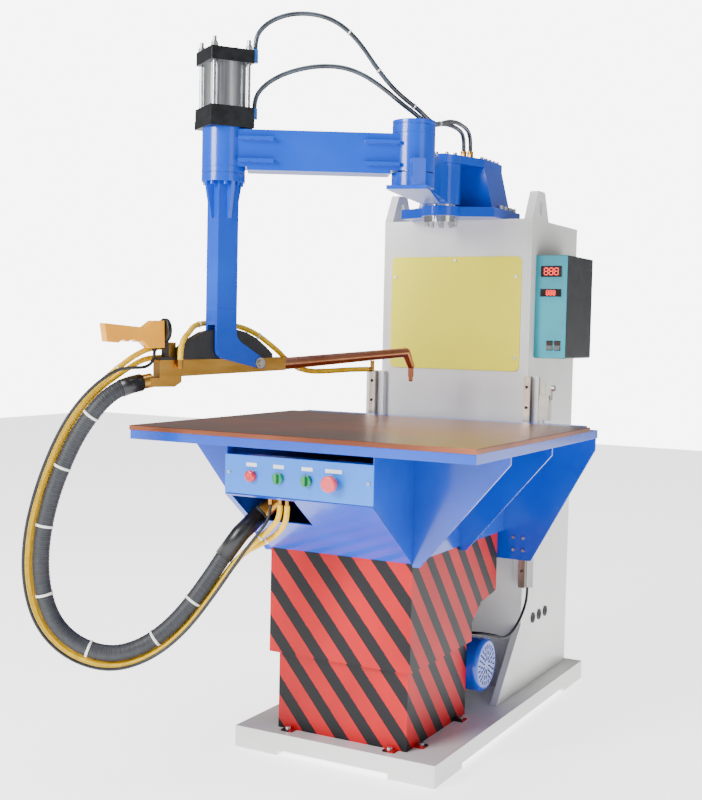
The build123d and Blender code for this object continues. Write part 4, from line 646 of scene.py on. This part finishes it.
# Shadowed openings: flat black standing for the shade inside them, which is painted shade, so the holes
# read as deep.
shadow_black = finish("painted_shade_black", "050506", "0c0d0f", 40, 0.8)
bars_round_a_circle = ring_tree()
blocks_in_a_row = row_tree(False)
discs_in_a_row = row_tree(True)
motor_low, motor_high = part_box("lift_motor")
fan_face = motor_high[0] * 1000
fan_middle = (motor_low[1] + motor_high[1]) * 500
FAN_Z = 183
FAN_RINGS = ((10, 20), (16, 36), (22, 52))      # slots in each ring and its radius
# Each slot is a flat black bar laid on the fan cover: painted shade.
for ring, (count, radius) in enumerate(FAN_RINGS):
    grown(f"fan_slots_{ring}", bars_round_a_circle, shadow_black, "frame", slot_of("lift_motor"),
          (fan_face + 0.2, fan_middle, FAN_Z), FACE_RIGHT, Count=count, Radius=float(radius), Size=(12.0,
                                                                                                    4.0,
                                                                                                    0.8))

# ---- cable grommets
# Three moulded rubber rings pressed into the right side of the column, where the supply leads
# go through.
grommet_rubber = finish("moulded_rubber", "0b0c0d", "17181a", 60, 0.6)
column_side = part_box("column_sides")[1][0] * 1000
GROMMET_Z = 260
grown("grommets", discs_in_a_row, grommet_rubber, "frame", slot_of("handle_mount"),
      (column_side + 1.5, 239, GROMMET_Z), FACE_RIGHT, Count=3, Step=(0.0, 54.0, 0.0), Size=(16.0, 16.0,
                                                                                             3.0))
# The holes through the grommets are flat black discs: painted shade from the dark inside of the column.
grown("grommet_holes", discs_in_a_row, shadow_black, "frame", slot_of("handle_mount"),
      (column_side + 3.2, 239, GROMMET_Z), FACE_RIGHT, Count=3, Step=(0.0, 54.0, 0.0), Size=(8.0, 8.0, 0.6))

# ---- display windows
# Two dark acrylic windows on the front of the control box. Behind each is a seven-segment
# display that shows three eights, lit red.
smoked_acrylic = finish("smoked_acrylic", "140507", "1e090c", 20, 0.12, coat=0.5)
lit_segment = finish("lit_red_segment", "ff2a1c", "ff4a34", 30, 0.4)
segment_shader = lit_segment.node_tree.nodes["Principled BSDF"]
segment_shader.inputs["Emission Color"].default_value = linear("ff2010")
segment_shader.inputs["Emission Strength"].default_value = 3.0
face_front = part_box("control_face")[0][1] * 1000
SCREEN_MIDDLE = 291


def display(name, middle_z, width, height, digit, digits=3):
    """A dark window with a row of eights, each made of seven lit bars."""
    grown(name + "_window", blocks_in_a_row, smoked_acrylic, "frame", slot_of("control_face"),
          (SCREEN_MIDDLE, face_front - 0.4, middle_z), Count=1, Step=(0.0, 0.0, 0.0), Size=(width, 0.8,
                                                                                            height))
    tall = height * 0.62
    bar = 2.2
    pitch = digit * 1.45
    left = SCREEN_MIDDLE - pitch * (digits - 1) / 2
    flat = [(0, z, digit - bar, bar) for z in (-tall / 2, 0, tall / 2)]
    upright = [(x, z, bar, tall / 2 - bar) for x in (-digit / 2, digit / 2) for z in (-tall / 4, tall / 4)]
    for n, (x, z, wide, high) in enumerate(flat + upright):
        grown(f"{name}_bar_{n}", blocks_in_a_row, lit_segment, "frame", slot_of("control_face"),
              (left + x, face_front - 1.0, middle_z + z), Count=digits, Step=(pitch, 0.0, 0.0),
              Size=(wide, 0.4, high))


display("main_display", 1309, 64.0, 32.0, 11.0)
display("small_display", 1246, 64.0, 22.0, 7.0)

# ---- blank labels
# Engraved two-layer plastic plates are glued above the lamp and the buttons. They are left
# blank here.
label_stock = finish("engraving_laminate", "d6d8da", "eceeef", 40, 0.4)
panel_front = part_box("button_panel")[0][1] * 1000
for n, middle in enumerate((-130, -52, 28, 101)):
    grown(f"label_{n}", blocks_in_a_row, label_stock, "table", slot_of("button_panel"),
          (middle, panel_front - 0.4, 790), Count=1, Step=(0.0, 0.0, 0.0), Size=(30.0 if n < 3 else 44.0,
                                                                                 0.8, 9.0))
